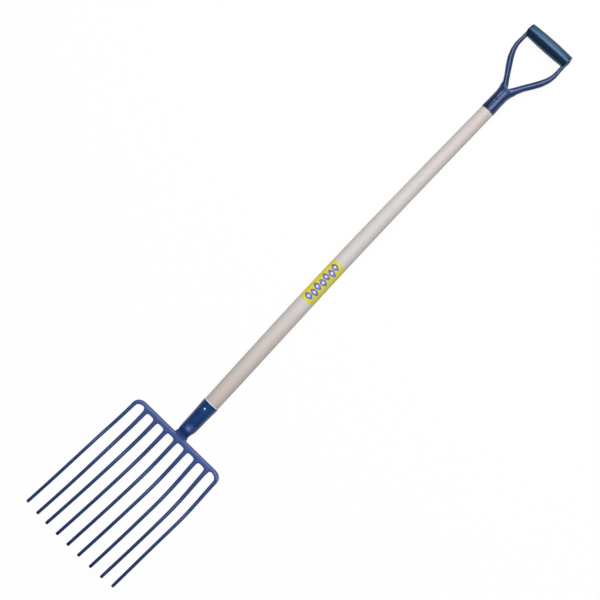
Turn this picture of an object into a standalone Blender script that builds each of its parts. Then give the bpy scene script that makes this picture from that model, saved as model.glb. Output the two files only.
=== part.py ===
"""Nine-tine stone fork: forged head, ash shaft and steel Y handle with a barrel grip."""
import math

import bmesh
import bpy
from mathutils import Matrix, Vector

# All sizes are in metres. The fork is drawn about its shaft: the local origin lies in the
# socket's mouth, +X runs to the grip, +Y to the fork's left, +Z to its hollow front.
GAP = 0.0003

# Forged head: crossbar and tines
TINES = 9
HEAD_Y = 0.0004
HEAD_YAW = math.radians(0.2)
TINE_PITCH = 0.0290
TINE_SPREAD = 0.0013
SPREAD_LENGTH = 0.115
BAR_TOP_X = -0.0903
BAR_HEIGHT = 0.0129
OUTER_SLOT_RISE = 0.0043
BAR_THICKNESS = 0.009
BAR_Z = 0.0065
BAR_TILT = 0.0016
BAR_CORNER_DROP = (0.0016, 0.0061, 0.0122)
BAR_CROWN = 0.0004
BAR_END_DIP = 0.0015
BAR_BACK_CUT = 0.0001
BAR_BACK_HEIGHT = 0.0084
BAR_BACK_WIDTH = 0.2100
ROOT_HALF_WIDTH = 0.0062
OUTER_ROOT_HALF_WIDTH = 0.0032
ROOT_SQUARENESS = 1.5
ROOT_BLEND_LENGTH = 0.010
TINE_ROOT_RADIUS = 0.0048
OUTER_TINE_THINNER = 0.0005
TINE_TIP_RADIUS = 0.00345
TINE_TAPER_LENGTH = 0.105
TINE_LENGTH = 0.3080
OUTER_TINE_SHORTER = 0.0048
BEND_START = 0.025
BEND_LENGTH = 0.115
BEND_ANGLE = math.radians(23.5)
SWEEP_ANGLE = math.radians(8)
TINE_SIDE_BOW = {4: 0.0014, -4: 0.0024}
TINE_SIDE_DRIFT = {4: -0.0024, 3: -0.0030, -2: -0.0022, -3: -0.0018, -4: -0.0004}
TINE_STATIONS = (0.0045, 0.012, 0.040, 0.070, 0.100, 0.130, 0.165, 0.205, 0.250)
PATH_STEP = 0.001
TIP_EDGE = 0.0012
TIP_PART = 0.88

# Neck and socket: x, height of the centre, half width, half depth, squareness of the section
NECK_SECTIONS = (
    (-0.0880, 0.0076, 0.0156, 0.0044, 3.4),
    (-0.0842, 0.0080, 0.0134, 0.0043, 3.2),
    (-0.0805, 0.0088, 0.0134, 0.0048, 2.8),
    (-0.0765, 0.0094, 0.0140, 0.0072, 2.5),
    (-0.0720, 0.0068, 0.0151, 0.0123, 2.2),
    (-0.0675, 0.0022, 0.0161, 0.0162, 2.0),
    (-0.0630, 0.0000, 0.0166, 0.0166, 2.0),
    (-0.0540, 0.0000, 0.0167, 0.0167, 2.0),
    (-0.0300, 0.0000, 0.0171, 0.0171, 2.0),
    (-0.0100, 0.0000, 0.0180, 0.0180, 2.0),
    (-0.0014, 0.0000, 0.0186, 0.0186, 2.0),
    (0.0002, 0.0000, 0.0184, 0.0184, 2.0),
)
SOCKET_MOUTH_X = 0.0012
SOCKET_MOUTH_RADIUS = 0.0186
SOCKET_LIP_RADIUS = 0.0178
SOCKET_BORE = (
    (0.0010, 0.0171), (-0.0110, 0.0167), (-0.0340, 0.0157), (-0.0560, 0.0149), (-0.0585, 0.0148))

# Shaft: x and radius of the turned profile, and how far it bows to the left
SHAFT_SEAT = ((-0.0540, 0.0130), (-0.0525, 0.0141), (-0.0300, 0.0154), (0.0015, 0.0165))
SHAFT_BODY = (
    (0.0018, 0.0169), (0.0035, 0.0172), (0.060, 0.0176), (0.130, 0.0178), (0.200, 0.0178),
    (0.290, 0.0176), (0.380, 0.0172), (0.480, 0.0167), (0.580, 0.0160), (0.660, 0.0156),
    (0.735, 0.0152), (0.790, 0.0148), (0.8150, 0.0147), (0.8170, 0.0142),
)
SHAFT_TENON = ((0.8173, 0.0130), (0.8575, 0.0127), (0.8590, 0.0116))
SHAFT_BOW = 0.0041
BOW_POWER = 1.2
SHAFT_SIDES = 24

# Yoke: x, half width and half depth of the sleeve that holds the shaft's upper end
YOKE_Y = 0.0010
YOKE_YAW = math.radians(-0.15)
SLEEVE_MOUTH_X = 0.8173
SLEEVE_SECTIONS = (
    (0.8173, 0.0153, 0.0153),
    (0.8195, 0.0152, 0.0152),
    (0.8440, 0.0144, 0.0144),
    (0.8590, 0.0147, 0.0143),
    (0.8675, 0.0161, 0.0134),
)
SLEEVE_BORE = ((0.8173, 0.0138), (0.8380, 0.0135), (0.8600, 0.0133), (0.8618, 0.0132))
CROTCH_X = 0.8757
CROTCH_SIDE_X = 0.8737
CROTCH_HALF_WIDTH = 0.0185
CROTCH_HALF_DEPTH = 0.0122
CROTCH_EDGE_Z = 0.0108
CROTCH_CROWN = 0.0005
CROTCH_SHIFT = 0.0009
CROTCH_SHIFT_REACH = 0.022
# Left arm: x, distance from the middle, half width, half depth and squareness of the section
LEFT_ARM = (
    (0.8862, 0.0142, 0.0065, 0.0092, 2.0),
    (0.8985, 0.0216, 0.0061, 0.0082, 2.0),
    (0.9130, 0.0312, 0.0066, 0.0076, 2.0),
    (0.9290, 0.0410, 0.0066, 0.0073, 2.0),
    (0.9445, 0.0479, 0.0057, 0.0071, 2.0),
    (0.9590, 0.0510, 0.0050, 0.0069, 2.2),
    (0.9730, 0.0507, 0.0043, 0.0065, 2.6),
    (0.9860, 0.0504, 0.0041, 0.0061, 3.4),
)
# Right arm, a little broader at its root
RIGHT_ARM = (
    (0.8862, 0.0151, 0.0074, 0.0092, 2.0),
    (0.8985, 0.0223, 0.0068, 0.0082, 2.0),
    (0.9130, 0.0317, 0.0071, 0.0076, 2.0),
    (0.9290, 0.0414, 0.0070, 0.0073, 2.0),
    (0.9445, 0.0482, 0.0060, 0.0071, 2.0),
    (0.9590, 0.0510, 0.0050, 0.0069, 2.2),
    (0.9730, 0.0507, 0.0043, 0.0065, 2.6),
    (0.9860, 0.0504, 0.0041, 0.0061, 3.4),
)
ARM_DROP_X = 0.9730
EYE_RADIUS = 0.0060
EYE_TURNS = (0, 35, 65, 85)
ARM_ANGLES = (-140, -95, -50, 0, 50, 95, 140, 180)
# Lapped seam of the sleeve: x, radius inside the wall and radius of the wall's face
LAP_SECTIONS = (
    (0.8176, 0.0146, 0.0153),
    (0.8440, 0.0140, 0.0144),
    (0.8590, 0.0138, 0.0143),
    (0.8720, 0.0110, 0.0122),
)
LAP_ANGLES = (-2, 25)
LAP_STEPS = 4
LAP_HEIGHT = 0.0010
LAP_END_PART = 0.4
LAP_EDGE_PART = 0.25

# Barrel grip and its rod
GRIP_X = 0.9975
GRIP_MIDDLE_RADIUS = 0.0157
GRIP_END_RADIUS = 0.0139
GRIP_HALF_LENGTH = 0.0529
GRIP_EDGE = 0.0014
GRIP_STATIONS = 5
SLOT_Y = 0.0458
SLOT_RADIUS = 0.0066
SLOT_MOUTH_X = -0.020
SLOT_OUTER_Y = 0.070
ROD_RADIUS = 0.0030
ROD_SEAT_Y = 0.0548
ROD_HEAD_RADIUS = 0.0046
ROD_HEAD_HEIGHT = 0.0010

# Rivets and label
SOCKET_RIVET_X = -0.0158
SOCKET_RIVET_SEAT = 0.0182
SOCKET_RIVET_BACK = 0.0172
YOKE_RIVET_X = 0.8460
YOKE_RIVET_SEAT = 0.0157
YOKE_RIVET_BACK = 0.0141
YOKE_RIVET_TURN = math.radians(12)
RIVET_RADIUS = 0.0022
RIVET_HEAD_RADIUS = 0.0031
RIVET_HEAD_RIM = 0.0003
RIVET_HEAD_STEPS = 5
RIVET_HEAD_HEIGHT = 0.0014
YOKE_RIVET_HEAD_HEIGHT = 0.0007
RIVET_HOLE_REACH = 0.025
ROD_HOLE_REACH = 0.060
LABEL_MIDDLE_X = 0.3345
LABEL_LENGTH = 0.1023
LABEL_WIDTH = 0.0460
LABEL_CORNER = 0.0115
LABEL_LIFT = 0.00042
LABEL_THICKNESS = 0.0003
LABEL_TURN = math.radians(-5)

# A cage loop of n points shrinks by this much in one Catmull-Clark step
SUBDIVISIONS = 1
SHRINK_8 = 0.925
SHRINK_12 = 0.966


def clear_scene():
    """Remove every object that the start-up file brought."""
    for item in list(bpy.data.objects):
        bpy.data.objects.remove(item, do_unlink=True)


def make_material(name, colour, roughness, metallic=0.0):
    """A Principled material in one colour."""
    material = bpy.data.materials.new(name)
    material.use_nodes = True
    shader = material.node_tree.nodes["Principled BSDF"]
    shader.inputs["Base Color"].default_value = (*colour, 1.0)
    shader.inputs["Roughness"].default_value = roughness
    shader.inputs["Metallic"].default_value = metallic
    material.diffuse_color = (*colour, 1.0)
    return material


def finish_object(name, bm, material, parent, sharp_angle=40):
    """Turn a bmesh into a smooth-shaded object; a cage to be subdivided has no sharp edges."""
    bmesh.ops.recalc_face_normals(bm, faces=bm.faces)
    mesh = bpy.data.meshes.new(name)
    bm.to_mesh(mesh)
    bm.free()
    mesh.shade_smooth()
    if sharp_angle:
        mesh.set_sharp_from_angle(angle=math.radians(sharp_angle))
    item = bpy.data.objects.new(name, mesh)
    item.data.materials.append(material)
    item.parent = parent
    bpy.context.collection.objects.link(item)
    return item


def subdivide(item):
    """Round a cage with Catmull-Clark subdivision."""
    modifier = item.modifiers.new("rounding", 'SUBSURF')
    modifier.levels = SUBDIVISIONS
    modifier.render_levels = SUBDIVISIONS
    return modifier


def hide_as_tool(item):
    """Keep a cutting or joining shape out of the model."""
    item.hide_render = True
    item.display_type = 'WIRE'


def combine(item, tool, operation):
    """Cut a tool from an object, or weld it on, with an exact Boolean."""
    modifier = item.modifiers.new(tool.name, 'BOOLEAN')
    modifier.operation = operation
    modifier.solver = 'EXACT'
    modifier.object = tool
    hide_as_tool(tool)


def drill(name, target, radius, start, end, frame):
    """Bore a round hole through an object from start to end, both given in a frame."""
    axis = Vector(end) - Vector(start)
    turn = axis.to_track_quat('Z', 'Y').to_matrix().to_4x4()
    bm = bmesh.new()
    bmesh.ops.create_cone(
        bm, cap_ends=True, segments=16, radius1=radius, radius2=radius, depth=axis.length,
        matrix=Matrix.Translation((Vector(start) + Vector(end)) / 2) @ turn)
    cutter = finish_object(name, bm, target.data.materials[0], frame)
    combine(target, cutter, 'DIFFERENCE')


def superellipse(angle, half_width, half_depth, power):
    """Point of a rounded rectangle: power 2 is an ellipse, higher powers are squarer."""
    side, front = math.sin(angle), math.cos(angle)
    reach = (abs(side) ** power + abs(front) ** power) ** (-1.0 / power)
    return half_width * side * reach, half_depth * front * reach


def smooth_step(value):
    """Ease from 0 to 1 as value goes from 0 to 1."""
    value = min(max(value, 0.0), 1.0)
    return value * value * (3.0 - 2.0 * value)


def bridge(bm, lower, upper, closed=True):
    """Join two rows of corners with quads."""
    count = len(lower) if closed else len(lower) - 1
    for k in range(count):
        following = (k + 1) % len(lower)
        bm.faces.new((lower[k], lower[following], upper[following], upper[k]))


def crease_loop(bm, loop, amount, closed=True):
    """Keep the edges along a row of corners crisp under subdivision."""
    layer = bm.edges.layers.float.get("crease_edge") or bm.edges.layers.float.new("crease_edge")
    count = len(loop) if closed else len(loop) - 1
    for k in range(count):
        edge = bm.edges.get((loop[k], loop[(k + 1) % len(loop)]))
        edge[layer] = amount


def tine_y(index, distance):
    """Sideways place of a tine's centre line, which spreads a little below the crossbar."""
    pitch = TINE_PITCH + TINE_SPREAD * smooth_step(distance / SPREAD_LENGTH)
    bow = TINE_SIDE_BOW.get(index, 0.0) * math.sin(math.pi * min(distance / TINE_LENGTH, 1.0))
    drift = TINE_SIDE_DRIFT.get(index, 0.0) * smooth_step(distance / TINE_LENGTH)
    return index * pitch + bow + drift


def tine_radius(index, distance):
    """Radius of a tine, thickest where it leaves the crossbar."""
    fade = math.exp(-distance / TINE_TAPER_LENGTH)
    root = TINE_ROOT_RADIUS - (OUTER_TINE_THINNER if abs(index) == TINES // 2 else 0.0)
    return TINE_TIP_RADIUS + (root - TINE_TIP_RADIUS) * fade


def tine_slope(distance):
    """Angle of a tine to the shaft: straight at first, then a bend, then a slow sweep forward."""
    bend = BEND_ANGLE * smooth_step((distance - BEND_START) / BEND_LENGTH)
    beyond = max(distance - BEND_START - BEND_LENGTH, 0.0)
    return bend + SWEEP_ANGLE * beyond / (TINE_LENGTH - BEND_START - BEND_LENGTH)


def tine_point(index, root_x, distance):
    """Centre, and direction to the front, of a tine at a distance below its root."""
    x, z = root_x, BAR_Z
    steps = max(round(distance / PATH_STEP), 1)
    for step in range(steps):
        slope = tine_slope(distance * (step + 0.5) / steps)
        x -= math.cos(slope) * distance / steps
        z += math.sin(slope) * distance / steps
    turn = tine_slope(distance)
    return Vector((x, tine_y(index, distance), z)), Vector((math.sin(turn), 0.0, math.cos(turn)))


def add_tine(bm, index, root_ring, root_x):
    """Grow one tine from the eight corners of its root down to a blunt tip."""
    last = TINES // 2
    length = TINE_LENGTH - OUTER_TINE_SHORTER * (abs(index) / last) ** 3
    stations = [s for s in TINE_STATIONS if s < length - 0.01] + [length - TIP_EDGE, length]
    ring = root_ring
    for distance in stations:
        centre, front = tine_point(index, root_x, distance)
        radius = tine_radius(index, distance) / SHRINK_8
        if distance == length:
            radius *= TIP_PART
        power = 2.0 + ROOT_SQUARENESS * math.exp(-distance / ROOT_BLEND_LENGTH)
        corners = []
        for k in range(8):
            side, depth = superellipse(math.radians(45 * (k - 1)), radius, radius, power)
            corners.append(bm.verts.new(centre + Vector((0.0, side, 0.0)) + front * depth))
        bridge(bm, ring, corners)
        ring = corners
    bm.faces.new(ring)
    crease_loop(bm, ring, 0.7)


def bar_lines():
    """The crossbar's lines from right to left: place, tine and part of each."""
    last = TINES // 2
    lines = []
    for index in range(-last, last + 1):
        for part in (-1, 0, 1):
            half = ROOT_HALF_WIDTH
            if part == (1 if index > 0 else -1) and abs(index) == last:
                half = OUTER_ROOT_HALF_WIDTH
            lines.append((index * TINE_PITCH + part * half, index, part))
        if index < last:
            lines.append(((index + 0.5) * TINE_PITCH, index + 0.5, 0))
    return lines


def bar_root_x(index, part):
    """Height of the slots' round ends: the two outermost slots reach higher."""
    side = 1 if index > 0 else -1
    inner = TINES // 2 - 1
    raised = abs(index) == inner + 0.5 or (abs(index) == inner and part == side)
    return BAR_TOP_X - BAR_HEIGHT + (OUTER_SLOT_RISE if raised else 0.0)


def add_crossbar(bm):
    """Lay out the crossbar's cage; returns the neck's ring and each tine's root ring."""
    lines = bar_lines()
    last = TINES // 2
    half = BAR_THICKNESS / 2
    front, back, top_edge, low_edge = [], [], [], []
    for number, (y, index, part) in enumerate(lines):
        from_end = min(number, len(lines) - 1 - number)
        drop = BAR_CORNER_DROP[2 - from_end] if from_end < 3 else 0.0
        low = bar_root_x(index, part)
        if from_end == 0:
            low = BAR_TOP_X - BAR_HEIGHT - BAR_END_DIP
        top = BAR_TOP_X - drop
        rows = (top, (top + low) / 2, low)
        tilts = (-BAR_TILT / 2, 0.0, BAR_TILT / 2)
        front.append([bm.verts.new((x, y, BAR_Z + half + t)) for x, t in zip(rows, tilts)])
        back.append([bm.verts.new((x, y, BAR_Z - half + t)) for x, t in zip(rows, tilts)])
        top_edge.append(bm.verts.new((top + BAR_CROWN, y, BAR_Z - BAR_TILT / 2)))
        inside_tine = part == 0 and float(index).is_integer()
        low_edge.append(None if inside_tine else bm.verts.new((low, y, BAR_Z + BAR_TILT / 2)))
    neck = [n for n, (y, _, _) in enumerate(lines) if abs(y) < TINE_PITCH * 0.51]
    for n in range(len(lines) - 1):
        for row in (0, 1):
            for face in (front, back):
                bm.faces.new((face[n][row], face[n + 1][row], face[n + 1][row + 1], face[n][row + 1]))
        if not (n in neck and n + 1 in neck):
            for face in (front, back):
                bm.faces.new((face[n][0], face[n + 1][0], top_edge[n + 1], top_edge[n]))
        if low_edge[n] and low_edge[n + 1]:
            for face in (front, back):
                bm.faces.new((face[n][2], face[n + 1][2], low_edge[n + 1], low_edge[n]))
    for n in (0, len(lines) - 1):
        middle = bm.verts.new(((top_edge[n].co.x + low_edge[n].co.x) / 2, lines[n][0], BAR_Z))
        for face in (front, back):
            bm.faces.new((face[n][0], top_edge[n], middle, face[n][1]))
            bm.faces.new((face[n][1], middle, low_edge[n], face[n][2]))
    neck_ring = [front[n][0] for n in neck] + [top_edge[neck[-1]]]
    neck_ring += [back[n][0] for n in reversed(neck)] + [top_edge[neck[0]]]
    for n in neck[1:-1]:
        bm.verts.remove(top_edge[n])
    roots = {}
    for index in range(-last, last + 1):
        a = 4 * (index + last)
        roots[index] = [
            front[a][2], front[a + 1][2], front[a + 2][2], low_edge[a + 2],
            back[a + 2][2], back[a + 1][2], back[a][2], low_edge[a]]
    return neck_ring, roots


def socket_ring(bm, x, centre_z, half_width, half_depth, power):
    """Twelve corners of the neck's or socket's section."""
    corners = []
    for k in range(12):
        side, depth = superellipse(math.radians(30 * (k - 2)), half_width, half_depth, power)
        corners.append(bm.verts.new((x, side / SHRINK_12, centre_z + depth / SHRINK_12)))
    return corners


def add_socket(bm, neck_ring):
    """Loft the neck into the round socket, turn its rim in and close the bottom of its bore."""
    ring = neck_ring
    for section in NECK_SECTIONS:
        following = socket_ring(bm, *section)
        bridge(bm, ring, following)
        ring = following
    rim = socket_ring(bm, SOCKET_MOUTH_X, 0.0, SOCKET_LIP_RADIUS, SOCKET_LIP_RADIUS, 2.0)
    bridge(bm, ring, rim)
    ring = rim
    for x, radius in SOCKET_BORE:
        following = socket_ring(bm, x, 0.0, radius, radius, 2.0)
        bridge(bm, ring, following)
        if ring is rim:
            crease_loop(bm, following, 1.0)
        ring = following
    bm.faces.new(ring)


def flatten_bar_back(head, parent):
    """Dress the back of the crossbar to one flat strip across the tine roots."""
    middle = Matrix.Translation((BAR_TOP_X - BAR_HEIGHT / 2, 0.0, BAR_Z))
    tilt = Matrix.Rotation(math.atan2(BAR_TILT, BAR_HEIGHT), 4, 'Y')
    lowered = Matrix.Translation((0.0, 0.0, BAR_BACK_CUT - BAR_THICKNESS))
    size = Matrix.Diagonal((BAR_BACK_HEIGHT, BAR_BACK_WIDTH, BAR_THICKNESS, 1.0))
    bm = bmesh.new()
    bmesh.ops.create_cube(bm, size=1.0, matrix=middle @ tilt @ lowered @ size)
    cutter = finish_object("bar_back_cutter", bm, head.data.materials[0], parent)
    combine(head, cutter, 'DIFFERENCE')


def make_fork_head(material, parent):
    """One forging: nine round tines, crossbar, neck and socket."""
    bm = bmesh.new()
    neck_ring, roots = add_crossbar(bm)
    for index, ring in roots.items():
        add_tine(bm, index, ring, BAR_TOP_X - BAR_HEIGHT)
    add_socket(bm, neck_ring)
    head = finish_object("fork_head", bm, material, parent, sharp_angle=None)
    subdivide(head)
    flatten_bar_back(head, parent)
    drill("socket_rivet_hole", head, RIVET_RADIUS + GAP,
          (SOCKET_RIVET_X, 0.0, -RIVET_HOLE_REACH), (SOCKET_RIVET_X, 0.0, RIVET_HOLE_REACH), parent)
    return head


def shaft_centre(x):
    """Sideways place of the shaft's centre, which bows between the socket and the yoke."""
    if x < SOCKET_MOUTH_X:
        return HEAD_Y + math.tan(HEAD_YAW) * x
    if x > SLEEVE_MOUTH_X:
        return YOKE_Y + math.tan(YOKE_YAW) * (x - SLEEVE_MOUTH_X)
    part = x / SLEEVE_MOUTH_X
    bow = SHAFT_BOW * math.sin(math.pi * part) ** BOW_POWER
    return HEAD_Y + (YOKE_Y - HEAD_Y) * part + bow


def shaft_radius(x):
    """Radius of the shaft's body at x, read along its turned profile."""
    for (x0, r0), (x1, r1) in zip(SHAFT_BODY, SHAFT_BODY[1:]):
        if x <= x1:
            return r0 + (r1 - r0) * max(x - x0, 0.0) / (x1 - x0)
    return SHAFT_BODY[-1][1]


def yoke_rivet_line():
    """Both ends of the yoke rivet's hole, turned a little about the shaft."""
    side = RIVET_HOLE_REACH * math.sin(YOKE_RIVET_TURN)
    front = RIVET_HOLE_REACH * math.cos(YOKE_RIVET_TURN)
    return (YOKE_RIVET_X, -side, -front), (YOKE_RIVET_X, side, front)


def make_shaft(material, parent, head_frame, yoke_frame):
    """Turned ash shaft: tapered seat, bellied body and a tenon for the yoke."""
    bm = bmesh.new()
    ring = None
    for x, radius in SHAFT_SEAT + SHAFT_BODY + SHAFT_TENON:
        corners = []
        for k in range(SHAFT_SIDES):
            angle = 2 * math.pi * (k + 0.5) / SHAFT_SIDES
            corners.append(bm.verts.new(
                (x, shaft_centre(x) + radius * math.cos(angle), radius * math.sin(angle))))
        if ring:
            bridge(bm, ring, corners)
        else:
            bm.faces.new(corners)
        ring = corners
    bm.faces.new(ring)
    shaft = finish_object("shaft", bm, material, parent)
    drill("shaft_socket_rivet_hole", shaft, RIVET_RADIUS + GAP,
          (SOCKET_RIVET_X, 0.0, -RIVET_HOLE_REACH), (SOCKET_RIVET_X, 0.0, RIVET_HOLE_REACH),
          head_frame)
    drill("shaft_yoke_rivet_hole", shaft, RIVET_RADIUS + GAP, *yoke_rivet_line(), yoke_frame)
    return shaft


def make_rivet(name, x, turn, front_seat, head_height, back_end, material, parent):
    """Rivet through the shaft with a low domed head at the front and a flush end at the back."""
    profile = [(0.0, -back_end), (RIVET_RADIUS, -back_end), (RIVET_RADIUS, front_seat)]
    for step in range(RIVET_HEAD_STEPS):
        angle = math.radians(90 * step / RIVET_HEAD_STEPS)
        profile.append((RIVET_HEAD_RADIUS * math.cos(angle),
                        front_seat + RIVET_HEAD_RIM + head_height * math.sin(angle)))
    profile.insert(3, (RIVET_HEAD_RADIUS, front_seat))
    profile.append((0.0, front_seat + RIVET_HEAD_RIM + head_height))
    bm = bmesh.new()
    chain = [bm.verts.new((radius, 0.0, z)) for radius, z in profile]
    edges = [bm.edges.new(pair) for pair in zip(chain, chain[1:])]
    bmesh.ops.spin(bm, geom=chain + edges, cent=(0, 0, 0), axis=(0, 0, 1),
                   angle=2 * math.pi, steps=16, use_merge=True)
    bmesh.ops.remove_doubles(bm, verts=bm.verts, dist=1e-6)
    rivet = finish_object(name, bm, material, parent)
    rivet.location.x = x
    rivet.rotation_euler.x = -turn
    return rivet


def sleeve_ring(bm, side, x, half_width, half_depth):
    """Seven corners of half the sleeve's section, from the front round to the back."""
    corners = []
    for k in range(7):
        across, depth = superellipse(math.radians(30 * k), half_width, half_depth, 2.0)
        corners.append(bm.verts.new((x, side * across / SHRINK_12, depth / SHRINK_12)))
    return corners


def crotch_shift(x):
    """How far the crotch leans to the right of the sleeve, fading out to both sides of it."""
    return -CROTCH_SHIFT * (1.0 - smooth_step(abs(x - CROTCH_X) / CROTCH_SHIFT_REACH))


def arm_drop(x):
    """How far the arms have come down towards the grip, so that it lies on the ground."""
    full = SOCKET_MOUTH_RADIUS - GRIP_MIDDLE_RADIUS
    return -full * smooth_step((x - CROTCH_X) / (ARM_DROP_X - CROTCH_X))


def arm_ring(bm, side, centre, heading, half_width, half_depth, power):
    """Eight corners of an arm's section; heading is the arm's direction in the XY plane."""
    outward = Vector((-heading.y, heading.x, 0.0))
    corners = []
    for angle in ARM_ANGLES:
        depth, across = superellipse(math.radians(angle), half_depth, half_width, power)
        point = centre + outward * (across / SHRINK_8) + Vector((0, 0, -depth / SHRINK_8))
        corners.append(bm.verts.new((point.x, side * point.y, point.z)))
    return corners


def add_arm(bm, side, crotch_ring):
    """Sweep one arm from the crotch and round its end into the eye inside the grip."""
    ring = crotch_ring
    sections = list(LEFT_ARM if side > 0 else RIGHT_ARM)
    _, eye_y, half_width, _, power = sections[-1]
    for degrees in EYE_TURNS:
        turn = math.radians(degrees)
        sections.append((GRIP_X + EYE_RADIUS * math.sin(turn), eye_y, half_width,
                         EYE_RADIUS * math.cos(turn), power))
    places = [Vector((section[0], section[1], arm_drop(section[0]))) for section in sections]
    for n, (_, _, half_width, half_depth, power) in enumerate(sections):
        before = places[max(n - 1, 0)]
        after = places[min(n + 1, len(places) - 1)]
        heading = (after - before).normalized()
        corners = arm_ring(bm, side, places[n], heading, half_width, half_depth, power)
        bridge(bm, ring, corners)
        ring = corners
    bm.faces.new(ring)


def add_yoke_half(bm, side):
    """Half of the sleeve with its bore, and the arm that grows out of it."""
    ring = None
    for section in SLEEVE_SECTIONS:
        following = sleeve_ring(bm, side, *section)
        if ring:
            bridge(bm, ring, following, closed=False)
        else:
            mouth = following
        ring = following
    crotch = sleeve_ring(bm, side, CROTCH_SIDE_X, CROTCH_HALF_WIDTH, CROTCH_HALF_DEPTH)
    crotch[0].co = (CROTCH_X, 0.0, CROTCH_EDGE_Z)
    crotch[6].co = (CROTCH_X, 0.0, -CROTCH_EDGE_Z)
    bridge(bm, ring, crotch, closed=False)
    middle = bm.verts.new((CROTCH_X + CROTCH_CROWN, 0.0, 0.0))
    add_arm(bm, side, crotch + [middle])
    crease_loop(bm, [crotch[0], middle, crotch[6]], 0.5, closed=False)
    ring = mouth
    for number, (x, radius) in enumerate(SLEEVE_BORE):
        following = sleeve_ring(bm, side, x, radius, radius)
        bridge(bm, ring, following, closed=False)
        if number == 0:
            crease_loop(bm, following, 1.0, closed=False)
        ring = following
    bm.faces.new(ring)
    crease_loop(bm, mouth, 0.8, closed=False)


def make_lap(parent, material):
    """Raised strip of the sleeve's lapped seam, along the front left of the middle."""
    bm = bmesh.new()
    first, last = LAP_ANGLES
    angles = [math.radians(first + (last - first) * step / LAP_STEPS) for step in range(LAP_STEPS + 1)]
    ring = None
    for x, inner, outer in LAP_SECTIONS:
        height = LAP_HEIGHT * (LAP_END_PART if x == LAP_SECTIONS[-1][0] else 1.0)
        corners = []
        for angle in angles:
            reach = outer + height * (LAP_EDGE_PART if angle == angles[-1] else 1.0)
            corners.append(bm.verts.new((x, reach * math.sin(angle), reach * math.cos(angle))))
        for angle in reversed(angles):
            corners.append(bm.verts.new((x, inner * math.sin(angle), inner * math.cos(angle))))
        if ring:
            bridge(bm, ring, corners)
        else:
            bm.faces.new(corners)
        ring = corners
    bm.faces.new(ring)
    for vertex in bm.verts:
        vertex.co.y += crotch_shift(vertex.co.x)
    return finish_object("yoke_lap", bm, material, parent)


def make_yoke(material, parent):
    """Pressed steel yoke: sleeve with a lapped seam, and two arms that end in eyes."""
    bm = bmesh.new()
    for side in (1, -1):
        add_yoke_half(bm, side)
    bmesh.ops.remove_doubles(bm, verts=bm.verts, dist=1e-6)
    for vertex in bm.verts:
        vertex.co.y += crotch_shift(vertex.co.x)
    yoke = finish_object("yoke", bm, material, parent, sharp_angle=None)
    subdivide(yoke)
    combine(yoke, make_lap(parent, material), 'UNION')
    grip_z = arm_drop(GRIP_X)
    drill("yoke_rod_hole", yoke, ROD_RADIUS + GAP,
          (GRIP_X, -ROD_HOLE_REACH, grip_z), (GRIP_X, ROD_HOLE_REACH, grip_z), parent)
    drill("yoke_rivet_hole", yoke, RIVET_RADIUS + GAP, *yoke_rivet_line(), parent)
    return yoke


def turned_piece(name, bm, profile, steps, material, parent, closed=False):
    """Turn a profile of (y, radius) points about the grip's axis."""
    chain = [bm.verts.new((0.0, y, radius)) for y, radius in profile]
    pairs = list(zip(chain, chain[1:]))
    if closed:
        pairs.append((chain[-1], chain[0]))
    edges = [bm.edges.new(pair) for pair in pairs]
    bmesh.ops.spin(bm, geom=chain + edges, cent=(0, 0, 0), axis=(0, 1, 0),
                   angle=2 * math.pi, steps=steps, use_merge=True)
    bmesh.ops.remove_doubles(bm, verts=bm.verts, dist=1e-6)
    item = finish_object(name, bm, material, parent)
    item.location = (GRIP_X, 0.0, arm_drop(GRIP_X))
    return item


def cut_slot(name, side, grip, parent):
    """Slot in the end of the grip, open below and outwards, that takes the eye of one arm."""
    bm = bmesh.new()
    outline = [(SLOT_MOUTH_X, SLOT_RADIUS), (SLOT_MOUTH_X, -SLOT_RADIUS)]
    for step in range(9):
        turn = math.radians(-90 + 180 * step / 8)
        outline.append((SLOT_RADIUS * math.cos(turn), SLOT_RADIUS * math.sin(turn)))
    rows = [[bm.verts.new((x, side * y, z)) for x, z in outline] for y in (SLOT_Y, SLOT_OUTER_Y)]
    bm.faces.new(rows[0])
    bm.faces.new(rows[1])
    bridge(bm, rows[0], rows[1])
    cutter = finish_object(name, bm, grip.data.materials[0], parent)
    cutter.location = (GRIP_X, 0.0, arm_drop(GRIP_X))
    combine(grip, cutter, 'DIFFERENCE')


def make_grip(material, parent):
    """Barrel grip with a slot in each end for an arm, bored for the rod."""
    bore = ROD_RADIUS + GAP
    end = GRIP_HALF_LENGTH
    profile = [(-end, bore), (-end, GRIP_END_RADIUS - GRIP_EDGE)]
    for step in range(-GRIP_STATIONS, GRIP_STATIONS + 1):
        y = (end - GRIP_EDGE) * step / GRIP_STATIONS
        swell = (GRIP_MIDDLE_RADIUS - GRIP_END_RADIUS) * (1.0 - (y / end) ** 2)
        profile.append((y, GRIP_END_RADIUS + swell))
    profile += [(end, GRIP_END_RADIUS - GRIP_EDGE), (end, bore)]
    grip = turned_piece("grip", bmesh.new(), profile, 28, material, parent, closed=True)
    cut_slot("grip_slot_left", 1, grip, parent)
    cut_slot("grip_slot_right", -1, grip, parent)
    return grip


def make_grip_rod(material, parent):
    """Steel rod through the eyes and the grip, riveted over at both ends."""
    head = [(ROD_SEAT_Y, ROD_RADIUS), (ROD_SEAT_Y, ROD_HEAD_RADIUS)]
    for angle in (30, 60, 90):
        turn = math.radians(angle)
        head.append((ROD_SEAT_Y + ROD_HEAD_HEIGHT * math.sin(turn), ROD_HEAD_RADIUS * math.cos(turn)))
    head[-1] = (head[-1][0], 0.0)
    mirrored = [(-y, radius) for y, radius in reversed(head)]
    return turned_piece("grip_rod", bmesh.new(), mirrored + head, 12, material, parent)


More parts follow.
